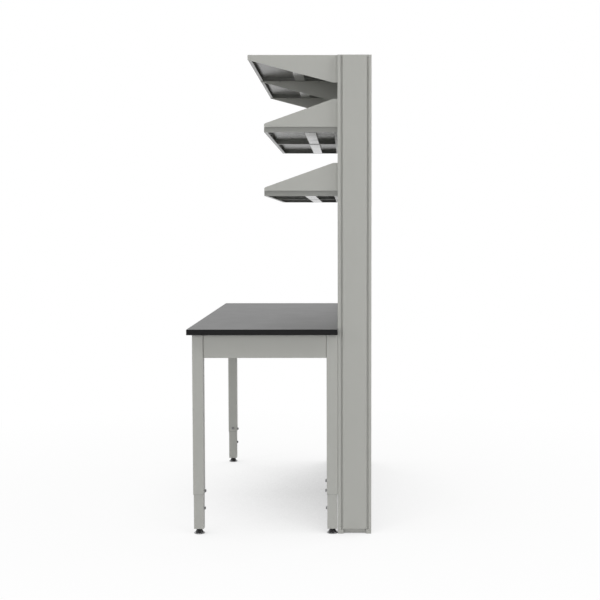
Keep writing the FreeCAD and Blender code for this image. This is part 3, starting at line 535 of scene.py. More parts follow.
def dress(piece, material):
    """Leave one material on a piece."""
    piece.data.materials.clear()
    piece.data.materials.append(material)


for node_name, node_object in NODES.items():
    dress(node_object, SLOT_MATERIALS[SLOT_OF[node_name]])
print("dressed", len(NODES), "pieces")

# %% [markdown]
# ## Softened sheet metal
#
# Real folded sheet has no razor edges: a press brake leaves a small radius at every fold, and the
# powder coat rounds the cut edges. Those few tenths of a millimetre catch the light as fine bright
# lines. Each piece is copied, its loose triangles are merged into whole faces, the folds that show
# are rounded in edit mode, and a narrow bevel takes the sharpness off every other edge. The copy
# stands for the plain piece it came from. Weighted normals keep the broad faces flat in the light,
# so that only the rounded edges shade softly.

# %% Cleaning and handing in
MERGE_DISTANCE = 0.01 * MM
FLAT_ANGLE = math.radians(1.0)
SHARP_DEGREES = 28
FOLD_STEPS, EDGE_STEPS = 4, 2


def clean_copy(node, name):
    """A copy of a bench piece, merged and with its flat faces in one piece each."""
    piece = copy_of(NODES[node], name)
    enter_edit(piece)
    bpy.ops.mesh.select_all(action="SELECT")
    bpy.ops.mesh.remove_doubles(threshold=MERGE_DISTANCE)
    bpy.ops.mesh.dissolve_limited(angle_limit=FLAT_ANGLE)
    start_fresh()
    return piece


def polish(piece):
    """Smooth shading that leaves the broad faces flat."""
    shade(piece)
    apply_modifier(piece, "WEIGHTED_NORMAL", keep_sharp=True)


def ease(piece, width, steps=3, degrees=25):
    """Round the edges that turn by more than some degrees, and shade the piece."""
    apply_modifier(
        piece, "BEVEL", width=width, segments=steps, limit_method="ANGLE",
        angle_limit=math.radians(degrees), use_clamp_overlap=True,
    )
    polish(piece)


def hand_in(piece, material, slot, body, *nodes):
    """Give a finished piece its finish and its body, and hide the bench pieces it stands for."""
    dress(piece, material)
    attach(piece, body)
    if nodes:
        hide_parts(*nodes)


# %% Rounding folds and edges
def round_folds(piece, radius, wanted):
    """Round the edges for which wanted(edge) is true, as a press brake would."""
    enter_edit(piece)
    found = pick(piece, "edges", wanted)
    if found:
        bpy.ops.mesh.bevel(
            offset=radius, offset_type="OFFSET", segments=FOLD_STEPS, affect="EDGES", clamp_overlap=True,
        )
    start_fresh()
    return found


def soften(node, width, fold=0.0, wanted=None, material=None):
    """Replace a bench piece by a copy with rounded folds and edges."""
    piece = clean_copy(node, "soft_" + node)
    folds = round_folds(piece, fold, wanted) if wanted else 0
    ease(piece, width, EDGE_STEPS, SHARP_DEGREES)
    hand_in(piece, material or SLOT_MATERIALS[SLOT_OF[node]], SLOT_OF[node], BODY_OF[node], node)
    return folds


def on_plane(axis, place):
    """A test for edges that lie in a plane across one axis."""
    return lambda edge: all(abs(vertex.co[axis] - place) < SAME_PLANE for vertex in edge.verts)


# %% [markdown]
# ### Aprons
#
# An apron is a shallow pan, folded on all four sides with its open side to the knees. Its outer
# folds are 3 mm, wide enough to draw a dark line where the apron meets each leg. Only the edges in
# the plane of the outer web are folds, so a test on that plane finds them.

# %% Aprons
APRON_FOLD, APRON_EDGE = 3.0 * MM, 0.4 * MM
APRON_WEBS = {
    # which apron: the axis across its web, and 0 or 1 for the low or high side
    "apron_front": (1, 0),
    "apron_rear": (1, 1),
    "apron_left": (0, 0),
    "apron_right": (0, 1),
}
for node_name, (axis, side) in APRON_WEBS.items():
    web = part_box(node_name)[side][axis]
    folds = soften(node_name, APRON_EDGE, APRON_FOLD, on_plane(axis, web))
    print(node_name, "has", folds, "outer folds")

# %% [markdown]
# ### Trays
#
# A tray is folded down on all sides and its lips are turned in again. The folds that show are those
# round its top and the one at the foot of its front lip. The test for the top also finds the rims
# of the screw holes, which the gussets hide.

# %% Trays
TRAY_FOLD, TRAY_EDGE = 1.4 * MM, 0.35 * MM
# The trays take the darker coat, whose tone is painted shade.
for node_name in nodes_named("top_shelf_tray_", "middle_shelf_tray_", "low_shelf_tray_"):
    tray_low, tray_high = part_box(node_name)
    at_top, at_foot, in_front = on_plane(2, tray_high.z), on_plane(2, tray_low.z), on_plane(1, tray_low.y)
    folds = soften(
        node_name, TRAY_EDGE, TRAY_FOLD,
        lambda edge: at_top(edge) or (at_foot(edge) and in_front(edge)), PAINTED_SHADE_TRAY_COAT,
    )
    print("rounded", folds, "edges of", node_name)

# %% [markdown]
# ### The other broad pieces
#
# The rest only needs its edges eased. Thin sheet takes a narrow rounding, tubes and blocks a wider
# one, and the cast worktop a very small one on its round edge. The slotted strips keep their crisp
# punched slots.

# %% The other broad pieces
EASED_EDGES = {
    # which pieces: how wide the rounding is
    "cross_rail": 0.5 * MM,
    "core_upright_": 0.8 * MM,
    "end_cover_": 0.4 * MM,
    "front_panels_": 0.35 * MM,
    "rear_panels": 0.35 * MM,
    "core_top_cap": 0.5 * MM,
    "core_shoes": 1.0 * MM,
    "top_shelf_bracket_": 0.5 * MM,
    "middle_shelf_gusset_": 0.5 * MM,
    "low_shelf_gusset_": 0.5 * MM,
    "shelf_stiffeners": 0.4 * MM,
    "leg_upper_": 0.4 * MM,
    "leg_lower_": 0.5 * MM,
    "worktop": 0.2 * MM,
}
for start, width in EASED_EDGES.items():
    members = [name for name in nodes_named(start) if name != "worktop_screws"]
    for node_name in members:
        soften(node_name, width)
    print("eased", len(members), "of", start.strip("_"), "by", round(width / MM, 2), "mm")

# %% [markdown]
# ### Painted shade on the feet of the stiffeners
#
# A stiffener is a galvanised hat section, welded to its tray through the two narrow feet of the
# hat. The feet lie in the shade of the hat's sides, so they get the tray's darker coat as painted
# shade, and only the crown and its sides stay bare. The feet could be cut off as pieces of their own,
# but then both parts would be left open, so the faces at the level of the feet get a second material
# instead.

# %% Painted shade on the feet of the stiffeners
HAT_FOOT_DEPTH = 3.0 * MM
SHADED_HAT_FOOT_SLACK = 0.6 * MM
SHADED_HAT_FOOT_LEVELS = [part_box(f"{tray}_shelf_tray_right")[1].z - HAT_FOOT_DEPTH for tray in ("top", "middle", "low")]


def repaint(piece, material, wanted):
    """Give the chosen faces of a piece a second finish."""
    piece.data.materials.append(material)
    enter_edit(piece)
    found = pick(piece, "faces", wanted)
    piece.active_material_index = len(piece.data.materials) - 1
    bpy.ops.object.material_slot_assign()
    start_fresh()
    return found


# The feet's faces take the darker tray coat as painted shade, where the hat's sides shade them.
painted = repaint(
    bpy.data.objects["soft_shelf_stiffeners"], PAINTED_SHADE_TRAY_COAT,
    lambda face: any(abs(face.calc_center_median().z - level) < SHADED_HAT_FOOT_SLACK for level in SHADED_HAT_FOOT_LEVELS),
)
print("painted", painted, "faces of the stiffeners' feet")

# %% [markdown]
# ## Bolts and screws
#
# The bench is held by hexagon flange bolts and cross-recessed pan head screws. The plain bench has
# simple ones in the right seats, so their places are read from it: each loose solid of a set gives
# a point on its seat and a direction. That keeps the details in place when the bench changes, which
# a list of typed coordinates would not.

# %% Finding the places of a set of fasteners
def loose_parts(node):
    """The corner points of each separate solid of a bench piece."""
    piece = clean_copy(node, "loose_" + node)
    mesh = bmesh.new()
    mesh.from_mesh(piece.data)
    reached = set()
    parts = []
    for first in mesh.verts:
        if first in reached:
            continue
        reached.add(first)
        edge_of_search, part = [first], []
        while edge_of_search:
            vertex = edge_of_search.pop()
            part.append(vertex.co.copy())
            for edge in vertex.link_edges:
                other = edge.other_vert(vertex)
                if other not in reached:
                    reached.add(other)
                    edge_of_search.append(other)
        parts.append(part)
    mesh.free()
    bpy.data.objects.remove(piece)
    return parts


# %% Reading a seat
def seat_of(points, head_height):
    """The point on a fastener's seat, the way its head faces, and its shank's length."""
    low = Vector([min(point[axis] for point in points) for axis in range(3)])
    high = Vector([max(point[axis] for point in points) for axis in range(3)])
    size, centre = high - low, (low + high) / 2
    # the size along the axis is the odd one of the three
    axis = min(range(3), key=lambda way: abs(size[(way + 1) % 3] - size[(way + 2) % 3]))

    def widest_at(height):
        """How far from the axis one end reaches."""
        at_end = [point for point in points if abs(point[axis] - height) < SAME_PLANE]
        return max(((point - centre) * Vector([way != axis for way in range(3)])).length for point in at_end)

    turn = 1.0 if widest_at(high[axis]) > widest_at(low[axis]) else -1.0
    direction = Vector([turn * (way == axis) for way in range(3)])
    top = high[axis] if turn > 0 else low[axis]
    point = centre.copy()
    point[axis] = top - turn * head_height
    return point, direction, size[axis] - head_height


# %% [markdown]
# ### A flange bolt
#
# The bolts that join the frame are pressed from wire: a hexagon head with a shallow dish, over a
# round flange that spreads the load. One is modelled standing on the origin with its head up, as
# three cylinders. The head's top is bevelled into a chamfer, then inset and pushed down.

# %% Working on a head's top
def top_faces(height):
    """A test for the faces at a height that look up."""
    return lambda face: face.normal.z > 0.9 and abs(face.calc_center_median().z - height) < SAME_PLANE


def chamfer_top(piece, height, chamfer, segments=2):
    """Chamfer the edge round a head's top."""
    enter_edit(piece)
    pick(piece, "faces", top_faces(height))
    bpy.ops.mesh.bevel(offset=chamfer, segments=segments, affect="EDGES")
    start_fresh()


def dish_top(piece, height, border, depth):
    """Press a shallow dish into a head's top."""
    enter_edit(piece)
    pick(piece, "faces", top_faces(height))
    bpy.ops.mesh.inset(thickness=border)
    bpy.ops.mesh.extrude_region_move(TRANSFORM_OT_translate={"value": (0.0, 0.0, -depth)})
    start_fresh()


# %% Cylinders and joined pieces
def add_cylinder(name, sides, radius, low, high):
    """An upright cylinder between two heights on the origin's axis."""
    start_fresh()
    bpy.ops.mesh.primitive_cylinder_add(
        vertices=sides, radius=radius, depth=high - low, location=(0.0, 0.0, (low + high) / 2),
    )
    piece = bpy.context.object
    piece.name = piece.data.name = name
    settle(piece)
    return piece


def join(pieces):
    """Join pieces into the first one."""
    start_fresh()
    for piece in pieces:
        piece.select_set(True)
    bpy.context.view_layer.objects.active = pieces[0]
    bpy.ops.object.join()
    return pieces[0]


# %% A flange bolt
BOLT_SIZE = 7.8 * MM
BOLT_FLATS, BOLT_HEAD_HEIGHT, BOLT_CHAMFER = 12.0 * MM, 5.4 * MM, 0.7 * MM
DISH_BORDER, DISH_DEPTH = 1.2 * MM, 0.5 * MM
BOLT_FLANGE, BOLT_FLANGE_HEIGHT, FLANGE_CHAMFER = 15.5 * MM, 1.5 * MM, 0.45 * MM
PLAIN_BOLT_HEAD = 5.9 * MM
HEXAGON, FLANGE_SIDES, BOLT_SIDES = 6, 36, 24


def make_bolt(name, shank):
    """A flange bolt with its seat on the origin."""
    head_top = BOLT_FLANGE_HEIGHT + BOLT_HEAD_HEIGHT
    inside_flange = BOLT_FLANGE_HEIGHT / 2
    head = add_cylinder(name, HEXAGON, BOLT_FLATS / math.sqrt(3.0), inside_flange, head_top)
    chamfer_top(head, head_top, BOLT_CHAMFER)
    dish_top(head, head_top, DISH_BORDER, DISH_DEPTH)
    flange = add_cylinder(name + "_flange", FLANGE_SIDES, BOLT_FLANGE / 2, 0.0, BOLT_FLANGE_HEIGHT)
    chamfer_top(flange, BOLT_FLANGE_HEIGHT, FLANGE_CHAMFER)
    rod = add_cylinder(name + "_rod", BOLT_SIDES, BOLT_SIZE / 2, -shank, inside_flange)
    return join([head, flange, rod])


# %% [markdown]
# ### A pan head screw
#
# Smaller screws hold the worktop and the trays. Their heads are low and round, with a cross for the
# driver. The cross is cut by a boolean with two thin blocks, because it crosses the head's round
# mesh at odd places, where pushing faces in would leave a ragged edge.

# %% A pan head screw
SCREW_SIZE = 4.8 * MM
SCREW_HEAD, SCREW_HEAD_HEIGHT, SCREW_ROUNDING = 10.0 * MM, 2.6 * MM, 1.3 * MM
CROSS_LENGTH, CROSS_WIDTH, CROSS_DEPTH = 5.2 * MM, 1.1 * MM, 1.4 * MM
SCREW_HEAD_SIDES, SCREW_SIDES = 32, 20
ROD_INTO_HEAD = 0.3 * MM


def make_screw(name, shank):
    """A pan head screw with its seat on the origin and a cross recess."""
    head = add_cylinder(name, SCREW_HEAD_SIDES, SCREW_HEAD / 2, 0.0, SCREW_HEAD_HEIGHT)
    chamfer_top(head, SCREW_HEAD_HEIGHT, SCREW_ROUNDING, segments=5)
    for turn in (0.0, math.pi / 2):
        start_fresh()
        bpy.ops.mesh.primitive_cube_add(
            size=1.0, location=(0.0, 0.0, SCREW_HEAD_HEIGHT), rotation=(0.0, 0.0, turn),
        )
        blade = bpy.context.object
        blade.scale = (CROSS_LENGTH, CROSS_WIDTH, 2 * CROSS_DEPTH)
        settle(blade)
        apply_modifier(head, "BOOLEAN", object=blade, operation="DIFFERENCE", solver="EXACT")
        bpy.data.objects.remove(blade)
    rod = add_cylinder(name + "_rod", SCREW_SIDES, SCREW_SIZE / 2, -shank, ROD_INTO_HEAD)
    return join([head, rod])


# %% [markdown]
# ### Fasteners in their places
#
# Copies of the bolt or screw are turned the way each plain one faces, moved to its seat and joined
# into one piece per set, which then stands for the plain set.

# %% Fasteners in their places
FASTENER_SMOOTHING = 30


def fit_fasteners(node, maker, head_height):
    """Replace a set of plain fasteners by detailed ones in the same seats."""
    seats = [seat_of(points, head_height) for points in loose_parts(node)]
    shank = seats[0][2]
    pattern = maker("fastener_pattern", shank)
    pieces = []
    for number, (point, direction, _) in enumerate(seats):
        piece = copy_of(pattern, f"detailed_{node}" if number == 0 else f"{node}_{number}")
        piece.location = point
        piece.rotation_euler = direction.to_track_quat("Z", "X").to_euler()
        settle(piece)
        pieces.append(piece)
    bpy.data.objects.remove(pattern)
    whole = join(pieces) if len(pieces) > 1 else pieces[0]
    shade(whole, FASTENER_SMOOTHING)
    hand_in(whole, ZINC_MATERIAL, SLOT_OF[node], BODY_OF[node], node)
    print(node, "fasteners:", len(seats), "shank:", round(shank / MM, 1), "mm")


for node_name in nodes_named("apron_bolts", "leg_clamp_bolts", "core_tie_bolts", "leg_stop_screw_"):
    fit_fasteners(node_name, make_bolt, PLAIN_BOLT_HEAD)
for node_name in nodes_named("worktop_screws", "shelf_screws"):
    fit_fasteners(node_name, make_screw, SCREW_HEAD_HEIGHT)

# %% [markdown]
# ## Levelling feet
#
# A levelling foot has four parts: a dark rubber sole, a pressed steel rim, a black moulded cone
# that takes the end of the stud, and the threaded stud with its hexagon collar. All but the hexagon
# are turned shapes. A turned shape starts as a filled circle that is extruded ring by ring, each
# ring scaled to its radius. Spinning a drawn profile would give the same shape, but this way the
# rings are read off a drawing as pairs of radius and height, and both ends close by themselves.

# %% Turned shapes
FOOT_SIDES = 48


def turn_up(name, profile, sides=FOOT_SIDES):
    """A closed turned shape about the Z axis from (radius, height) rings, bottom to top."""
    start_fresh()
    radius, height = profile[0]
    bpy.ops.mesh.primitive_circle_add(
        vertices=sides, radius=radius, fill_type="NGON", location=(0.0, 0.0, height),
    )
    piece = bpy.context.object
    piece.name = piece.data.name = name
    settle(piece)
    enter_edit(piece)
    bpy.ops.mesh.select_all(action="SELECT")
    for next_radius, next_height in profile[1:]:
        bpy.ops.mesh.extrude_region_move(TRANSFORM_OT_translate={"value": (0.0, 0.0, next_height - height)})
        share = next_radius / radius
        bpy.ops.transform.resize(value=(share, share, 1.0), center_override=(0.0, 0.0, next_height))
        radius, height = next_radius, next_height
    bpy.ops.mesh.select_all(action="SELECT")
    bpy.ops.mesh.normals_make_consistent(inside=False)
    start_fresh()
    return piece


# %% [markdown]
# ### Sole, rim and cone
#
# Each part is one list of rings, so its profile can be read as it would be drawn: the sole narrows
# to the floor, the rim curls round the sole's edge, and the cone rises to a neck with a socket in
# its top. Their sizes follow the plain foot. The corners are then rounded, because the mould and
# the press both leave them soft.

# %% Sole, rim and cone
foot_low, foot_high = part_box("foot_pad_front_right")
FOOT_RADIUS = (foot_high.x - foot_low.x) / 2
FOOT_TOP = foot_high.z - foot_low.z
SOLE_HEIGHT, RIM_TOP = 2.2 * MM, 6.3 * MM
CONE_FOOT_RADIUS, NECK_RADIUS = 19.0 * MM, 12.8 * MM
SOCKET_RADIUS, SOCKET_FLOOR = 5.08 * MM, 8.0 * MM
FOOT_PROFILES = {
    # name: how far its corners are rounded, and its rings of (radius, height), bottom to top
    "foot_sole": (0.2 * MM, [
        (FOOT_RADIUS - 4.0 * MM, 0.0), (FOOT_RADIUS - 3.2 * MM, 0.5 * MM),
        (FOOT_RADIUS - 1.2 * MM, SOLE_HEIGHT), (FOOT_RADIUS - 1.6 * MM, SOLE_HEIGHT + 0.3 * MM),
    ]),
    "foot_rim": (0.3 * MM, [
        (FOOT_RADIUS - 1.6 * MM, SOLE_HEIGHT - 0.1 * MM), (FOOT_RADIUS - 0.4 * MM, SOLE_HEIGHT + 0.1 * MM),
        (FOOT_RADIUS, SOLE_HEIGHT + 0.8 * MM), (FOOT_RADIUS, SOLE_HEIGHT + 1.6 * MM),
        (FOOT_RADIUS - 0.9 * MM, SOLE_HEIGHT + 2.4 * MM), (CONE_FOOT_RADIUS - 1.0 * MM, RIM_TOP),
    ]),
    "foot_cone": (0.35 * MM, [
        (CONE_FOOT_RADIUS, RIM_TOP - 1.0 * MM), (CONE_FOOT_RADIUS, RIM_TOP + 0.5 * MM),
        (CONE_FOOT_RADIUS - 0.9 * MM, RIM_TOP + 1.3 * MM), (NECK_RADIUS + 0.8 * MM, FOOT_TOP - 2.6 * MM),
        (NECK_RADIUS, FOOT_TOP - 1.4 * MM), (NECK_RADIUS, FOOT_TOP),
        (SOCKET_RADIUS, FOOT_TOP), (SOCKET_RADIUS, SOCKET_FLOOR),
    ]),
}


def make_foot_part(name):
    """One turned part of the foot, with its corners rounded."""
    edge, rings = FOOT_PROFILES[name]
    piece = turn_up(name, rings)
    ease(piece, edge)
    return piece


print("foot", round(2 * FOOT_RADIUS / MM, 1), "mm across and", round(FOOT_TOP / MM, 1), "mm high")

# %% [markdown]
# ### The stud
#
# The thread is an M10: crests 10 mm across, roots 8.4 mm, a crest every 1.5 mm. It is turned up as
# rings, a crest and a root at a time, because at this size nobody could tell them from a helix. The
# collar is a six-sided cylinder with both rims chamfered, so that a spanner slides on.

# %% The stud
stud_low, stud_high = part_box("foot_stud_front_right")
PITCH = 1.5 * MM
CREST, ROOT = 5.0 * MM, 4.2 * MM
CREST_STARTS, CREST_ENDS = PITCH * 0.45, PITCH * 0.58
LEAD_IN, UNDERCUT, TIP_TAPER = 0.8 * MM, 0.1 * MM, 0.5 * MM
COLLAR_FLATS, COLLAR_HEIGHT, COLLAR_CHAMFER = 17.0 * MM, 4.0 * MM, 0.5 * MM
COLLAR_GAP = 0.3 * MM
ROD_SIDES, ROD_SMOOTHING = 24, 20


def make_stud():
    """A threaded stud with a hexagon collar just above the cone."""
    rings = [(ROOT, stud_low.z), (CREST, stud_low.z + LEAD_IN)]
    height = FOOT_TOP + COLLAR_GAP + COLLAR_HEIGHT / 2
    rings += [(CREST, height), (ROOT, height + UNDERCUT)]
    while height < stud_high.z - 2 * PITCH:
        rings += [(CREST, height + CREST_STARTS), (CREST, height + CREST_ENDS), (ROOT, height + PITCH)]
        height += PITCH
    rings.append((ROOT - TIP_TAPER, stud_high.z))
    rod = turn_up("foot_stud", rings, ROD_SIDES)
    start = FOOT_TOP + COLLAR_GAP
    collar = add_cylinder("collar", HEXAGON, COLLAR_FLATS / math.sqrt(3.0), start, start + COLLAR_HEIGHT)
    ease(collar, COLLAR_CHAMFER, steps=2, degrees=70)
    shade(rod, ROD_SMOOTHING)
    return join([rod, collar])


print("stud", round((stud_high.z - stud_low.z) / MM, 1), "mm long")

# %% [markdown]
# ### Feet under the legs
#
# The patterns are made once, on the origin. Each leg gets its own copies, moved to the middle of its
# plain foot. Sole, rim and cone travel with the foot, and the stud turns on a body of its own, so
# every copy is told which body carries it.

# %% Feet under the legs
FOOT_PATTERNS = [
    # pattern, finish, slot, which body it rides on, which plain piece it stands for
    (make_foot_part("foot_cone"), NYLON_MATERIAL, "foot_black", "foot_", "foot_pad_"),
    (make_foot_part("foot_rim"), RIM_MATERIAL, "zinc_plate", "foot_", None),
    (make_foot_part("foot_sole"), RUBBER_MATERIAL, "foot_black", "foot_", None),
    (make_stud(), ZINC_MATERIAL, "zinc_plate", "stud_", "foot_stud_"),
]
for leg in LEGS:
    pad_low, pad_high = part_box("foot_pad_" + leg)
    centre = (pad_low + pad_high) / 2
    for pattern, finish, slot, body, node in FOOT_PATTERNS:
        piece = copy_of(pattern, pattern.name + "_at_" + leg)
        piece.location = (centre.x, centre.y, bench_low.z)
        settle(piece)
        hand_in(piece, finish, slot, body + leg, *([node + leg] if node else []))
for pattern, *_ in FOOT_PATTERNS:
    bpy.data.objects.remove(pattern)
print("stood", len(LEGS), "feet of", len(FOOT_PATTERNS), "pieces each")

# %% [markdown]
# ## Dark collars under the upper tubes, for painted shade
#
# A thin black collar sits in the mouth of each upper tube, round the lower tube. Its dark lip is
# painted shade: it stands in for the shadow that the step of the upper tube casts, and shows as a
# fine dark line under the upper tube. It starts as a square plane as wide as the tube, whose middle
# is inset and taken out before the ring is extruded downwards.

# %% Dark collars for painted shade
# The collar's lip stands in for the shadow under the step of the upper tube: painted shade.
SHADE_COLLAR_LIP, SHADE_COLLAR_PLAY, SHADE_COLLAR_SETBACK = 0.6 * MM, 0.15 * MM, 0.6 * MM
SHADE_COLLAR_CORNER, SHADE_COLLAR_CORNER_STEPS = 3.2 * MM, 4


def make_shade_collar(leg):
    """A dark lip under one upper tube, standing in for the shadow of its step: painted shade."""
    tube_low, tube_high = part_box("leg_upper_" + leg)
    inner_low, inner_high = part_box("leg_lower_" + leg)
    outer = tube_high.x - tube_low.x - 2 * SHADE_COLLAR_SETBACK
    inner = inner_high.x - inner_low.x + 2 * SHADE_COLLAR_PLAY
    tube_centre = (tube_low + tube_high) / 2
    start_fresh()
    bpy.ops.mesh.primitive_plane_add(size=outer, location=(tube_centre.x, tube_centre.y, tube_low.z))
    piece = bpy.context.object
    piece.name = piece.data.name = "shade_line_collar_" + leg
    settle(piece)
    enter_edit(piece)
    bpy.ops.mesh.select_all(action="SELECT")
    bpy.ops.mesh.inset(thickness=(outer - inner) / 2)
    bpy.ops.mesh.delete(type="FACE")
    bpy.ops.mesh.select_all(action="SELECT")
    bpy.ops.mesh.extrude_region_move(TRANSFORM_OT_translate={"value": (0.0, 0.0, -SHADE_COLLAR_LIP)})
    pick(piece, "edges", lambda edge: abs(edge.verts[0].co.z - edge.verts[1].co.z) > SHADE_COLLAR_LIP / 2)
    bpy.ops.mesh.bevel(
        offset=SHADE_COLLAR_CORNER, segments=SHADE_COLLAR_CORNER_STEPS, affect="EDGES", clamp_overlap=True,
    )
    bpy.ops.mesh.select_all(action="SELECT")
    bpy.ops.mesh.normals_make_consistent(inside=False)
    shade(piece)
    hand_in(piece, NYLON_MATERIAL, "foot_black", BODY_OF["leg_upper_" + leg])


for leg in LEGS:
    make_shade_collar(leg)
print("fitted", len(LEGS), "guide collars")

# %% [markdown]
# ## Studio
#
# The bench stands on a white floor in front of a white backdrop. A studio would flood the backdrop
# and keep a softer light on the bench. Here the same is done by asking what kind of ray arrives:
# what the camera sees beyond the floor, and what glossy paint mirrors of the backdrop, is white,
# while the light that falls on the bench comes from a dim even sky and a few large panels. Behind
# the camera the room is darker, so faces turned that way keep their depth.

# %% Floor
FLOOR_SIZE = 60.0
FLOOR_WHITE = (0.6, 0.6, 0.6, 1.0)
GLOW_NEAR, GLOW_FAR = 0.96, 1.0
GLOW_START, GLOW_STOP = 1.2, 3.0
PAINTED_SHADE_REACH, PAINTED_SHADE_DEPTH, PAINTED_SHADE_FALL = 1.3, 0.86, 3.0
MIRRORED_FLOOR, MIRRORED_FLOOR_BEHIND = 0.7, 0.15
DIM_START, DIM_STOP = 1.0, 3.0


def make_floor():
    """A white floor whose glow carries a painted shadow from ambient occlusion, with a faint real shadow mixed
    in, and turns into the backdrop further out.
    """
    start_fresh()
    bpy.ops.mesh.primitive_plane_add(size=FLOOR_SIZE, location=(0.0, 0.0, bench_low.z))
    floor = bpy.context.object
    floor.name = "studio_floor"
    settle(floor)
    material, tree, shader, place = new_material("floor_white")
    shader.inputs["Base Color"].default_value = FLOOR_WHITE
    shader.inputs["Roughness"].default_value = 0.9
    shader.inputs["Specular IOR Level"].default_value = 0.0
    # The shadow under the bench is painted: ambient occlusion dims the floor's glow near the bench, and only a
    # small share of really lit floor is mixed in.
    openness = add(tree, "ShaderNodeAmbientOcclusion", {"Distance": PAINTED_SHADE_REACH}, samples=8).outputs["AO"]
    closed = arithmetic(tree, "POWER", arithmetic(tree, "SUBTRACT", 1.0, openness), PAINTED_SHADE_FALL)
    bright = arithmetic(tree, "SUBTRACT", 1.0, arithmetic(tree, "MULTIPLY", closed, PAINTED_SHADE_DEPTH))
    glow = add(tree, "ShaderNodeEmission", {"Color": (1.0, 1.0, 1.0, 1.0), "Strength": bright})
    rays = add(tree, "ShaderNodeLightPath").outputs
    along = add(tree, "ShaderNodeSeparateXYZ", {"Vector": place}).outputs["X"]
    dimmer = remap(tree, along, DIM_START, DIM_STOP, MIRRORED_FLOOR, MIRRORED_FLOOR_BEHIND)
    mirrored = arithmetic(tree, "MULTIPLY", rays["Is Glossy Ray"], dimmer)
    seen = arithmetic(tree, "MAXIMUM", rays["Is Camera Ray"], mirrored)
    reach = add(tree, "ShaderNodeVectorMath", {0: place}, operation="LENGTH").outputs["Value"]
    share = remap(tree, reach, GLOW_START, GLOW_STOP, GLOW_NEAR, GLOW_FAR)
    mixer = add(tree, "ShaderNodeMixShader", {
        0: arithmetic(tree, "MULTIPLY", seen, share), 1: shader.outputs[0], 2: glow.outputs[0],
    })
    tree.links.new(mixer.outputs[0], tree.nodes["Material Output"].inputs["Surface"])
    dress(floor, material)


make_floor()
print("floor glow from", GLOW_NEAR, "to", GLOW_FAR)

# %% [markdown]
# ### The room
#
# The world is the backdrop. A camera ray that misses everything sees it at full white, a glossy ray
# sees it white on the far side and dim behind the camera, and a diffuse ray finds only a faint sky,
# so the backdrop itself adds next to no light to the bench.

# %% Room
SKY = 0.02
MIRRORED_BEHIND = 0.12
BEHIND_STARTS, BEHIND_FULL = 0.0, 0.7


def make_room():
    """White where it is seen or mirrored from the backdrop, softer where it lights."""
    world = bpy.data.worlds.new("studio_room")
    world.use_nodes = True
    bpy.context.scene.world = world
    tree = world.node_tree
    background = tree.nodes["Background"]
    background.inputs["Color"].default_value = (1.0, 1.0, 1.0, 1.0)
    rays = add(tree, "ShaderNodeLightPath").outputs
    towards = tree.nodes.new("ShaderNodeTexCoord").outputs["Generated"]
    along = add(tree, "ShaderNodeSeparateXYZ", {"Vector": towards}).outputs["X"]
    dimmer = remap(tree, along, BEHIND_STARTS, BEHIND_FULL, 1.0, MIRRORED_BEHIND)
    mirrored = arithmetic(tree, "MULTIPLY", rays["Is Glossy Ray"], dimmer)
    seen = arithmetic(tree, "MAXIMUM", rays["Is Camera Ray"], rays["Is Transmission Ray"])
    lighting = arithmetic(tree, "MULTIPLY", rays["Is Diffuse Ray"], SKY)
    strength = arithmetic(tree, "MAXIMUM", arithmetic(tree, "MAXIMUM", seen, mirrored), lighting)
    tree.links.new(strength, background.inputs["Strength"])


make_room()
print("sky", SKY)

# %% [markdown]
# ### Lamps
#
# Large panels stand far from the bench on all sides, so that shadows are soft and every side reads
# when the bench is turned. The powers are such that a colour renders about as it is written. Most
# panels are hidden from glossy faces, which would otherwise show them as hard bright squares.

# %% Lamps
LAMPS = [
    # name, place, what it looks at, width, height, power, whether glossy faces mirror it
    ("end_light", (14.0, -6.0, 4.0), (0.0, 0.0, 1.1), 6.0, 6.0, 660.0, False),
    ("low_light", (14.0, 3.0, 1.8), (0.0, 0.0, 1.1), 6.0, 4.0, 483.0, False),
    ("high_light", (4.0, -2.0, 10.0), (0.0, 0.0, 1.2), 6.0, 6.0, 170.0, True),
    ("user_side_light", (6.0, -10.0, 5.0), (0.0, 0.0, 1.2), 6.0, 6.0, 202.0, False),
    ("core_side_light", (2.5, 4.0, 4.5), (0.6, 0.1, 1.2), 2.5, 2.5, 113.0, True),
    ("front_light", (-2.0, -12.0, 4.5), (0.0, 0.0, 1.1), 5.0, 5.0, 500.0, False),
    ("far_fill", (-9.0, -6.0, 4.0), (0.0, 0.0, 1.1), 5.0, 5.0, 480.0, False),
    ("back_fill", (-4.0, 9.0, 4.0), (0.0, 0.3, 1.1), 5.0, 5.0, 480.0, False),
]


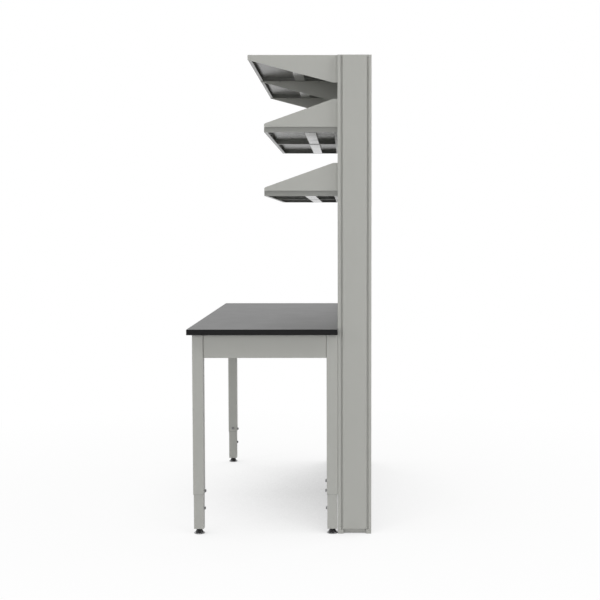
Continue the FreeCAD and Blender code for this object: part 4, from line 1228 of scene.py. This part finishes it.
def make_lamp(name, place, target, width, height, power, mirrored):
    """A rectangular lamp that looks at a point."""
    start_fresh()
    bpy.ops.object.light_add(type="AREA", location=place)
    lamp = bpy.context.object
    lamp.name = name
    lamp.data.shape = "RECTANGLE"
    lamp.data.size, lamp.data.size_y = width, height
    lamp.data.energy = power
    lamp.visible_glossy = mirrored
    aim = Vector(target) - Vector(place)
    lamp.rotation_euler = aim.to_track_quat("-Z", "Y").to_euler()


for lamp_settings in LAMPS:
    make_lamp(*lamp_settings)
print("lamps:", ", ".join(row[0] for row in LAMPS))

# %% [markdown]
# ## Camera
#
# The camera stands five and a half metres from the near end of the bench, half a metre above the
# worktop, and looks along it. It is tipped down by three and a half degrees, and the frame is
# shifted sideways so that the long lines keep their vanishing point behind the core.

# %% Camera
IMAGE = 600.0  # width and height of the picture, in pixels, as are the focal length and the centre
FOCAL_PIXELS = 1231.0
CENTRE_X, CENTRE_Y = 357.0, 299.5
TILT, TURN = math.radians(3.515), math.radians(0.55)
SENSOR = 36.0
STANDARD_THICKNESS = 4.0 * MM
CAMERA_PLACE = Vector((6.366, 0.0336, 1.4004))  # its Y is counted from the front of the core
CLIP_NEAR, CLIP_FAR = 0.1, 200.0


def make_camera():
    """A camera with a long lens and a sideways shift."""
    data = bpy.data.cameras.new("end_view")
    camera = bpy.data.objects.new("end_view", data)
    bpy.context.scene.collection.objects.link(camera)
    data.sensor_width = SENSOR
    data.lens = SENSOR * FOCAL_PIXELS / IMAGE
    data.shift_x = -(CENTRE_X - IMAGE / 2) / IMAGE
    data.shift_y = (CENTRE_Y - IMAGE / 2) / IMAGE
    ahead = Vector((
        -math.cos(TILT) * math.cos(TURN), math.cos(TILT) * math.sin(TURN), -math.sin(TILT),
    ))
    camera.location = CAMERA_PLACE + Vector((0.0, core_front - STANDARD_THICKNESS, 0.0))
    camera.rotation_mode = "QUATERNION"
    camera.rotation_quaternion = ahead.to_track_quat("-Z", "Y")
    data.clip_start, data.clip_end = CLIP_NEAR, CLIP_FAR
    bpy.context.scene.camera = camera


make_camera()
print("lens", round(bpy.context.scene.camera.data.lens, 1), "mm")
bpy.context.scene.view_settings.view_transform = "Standard"
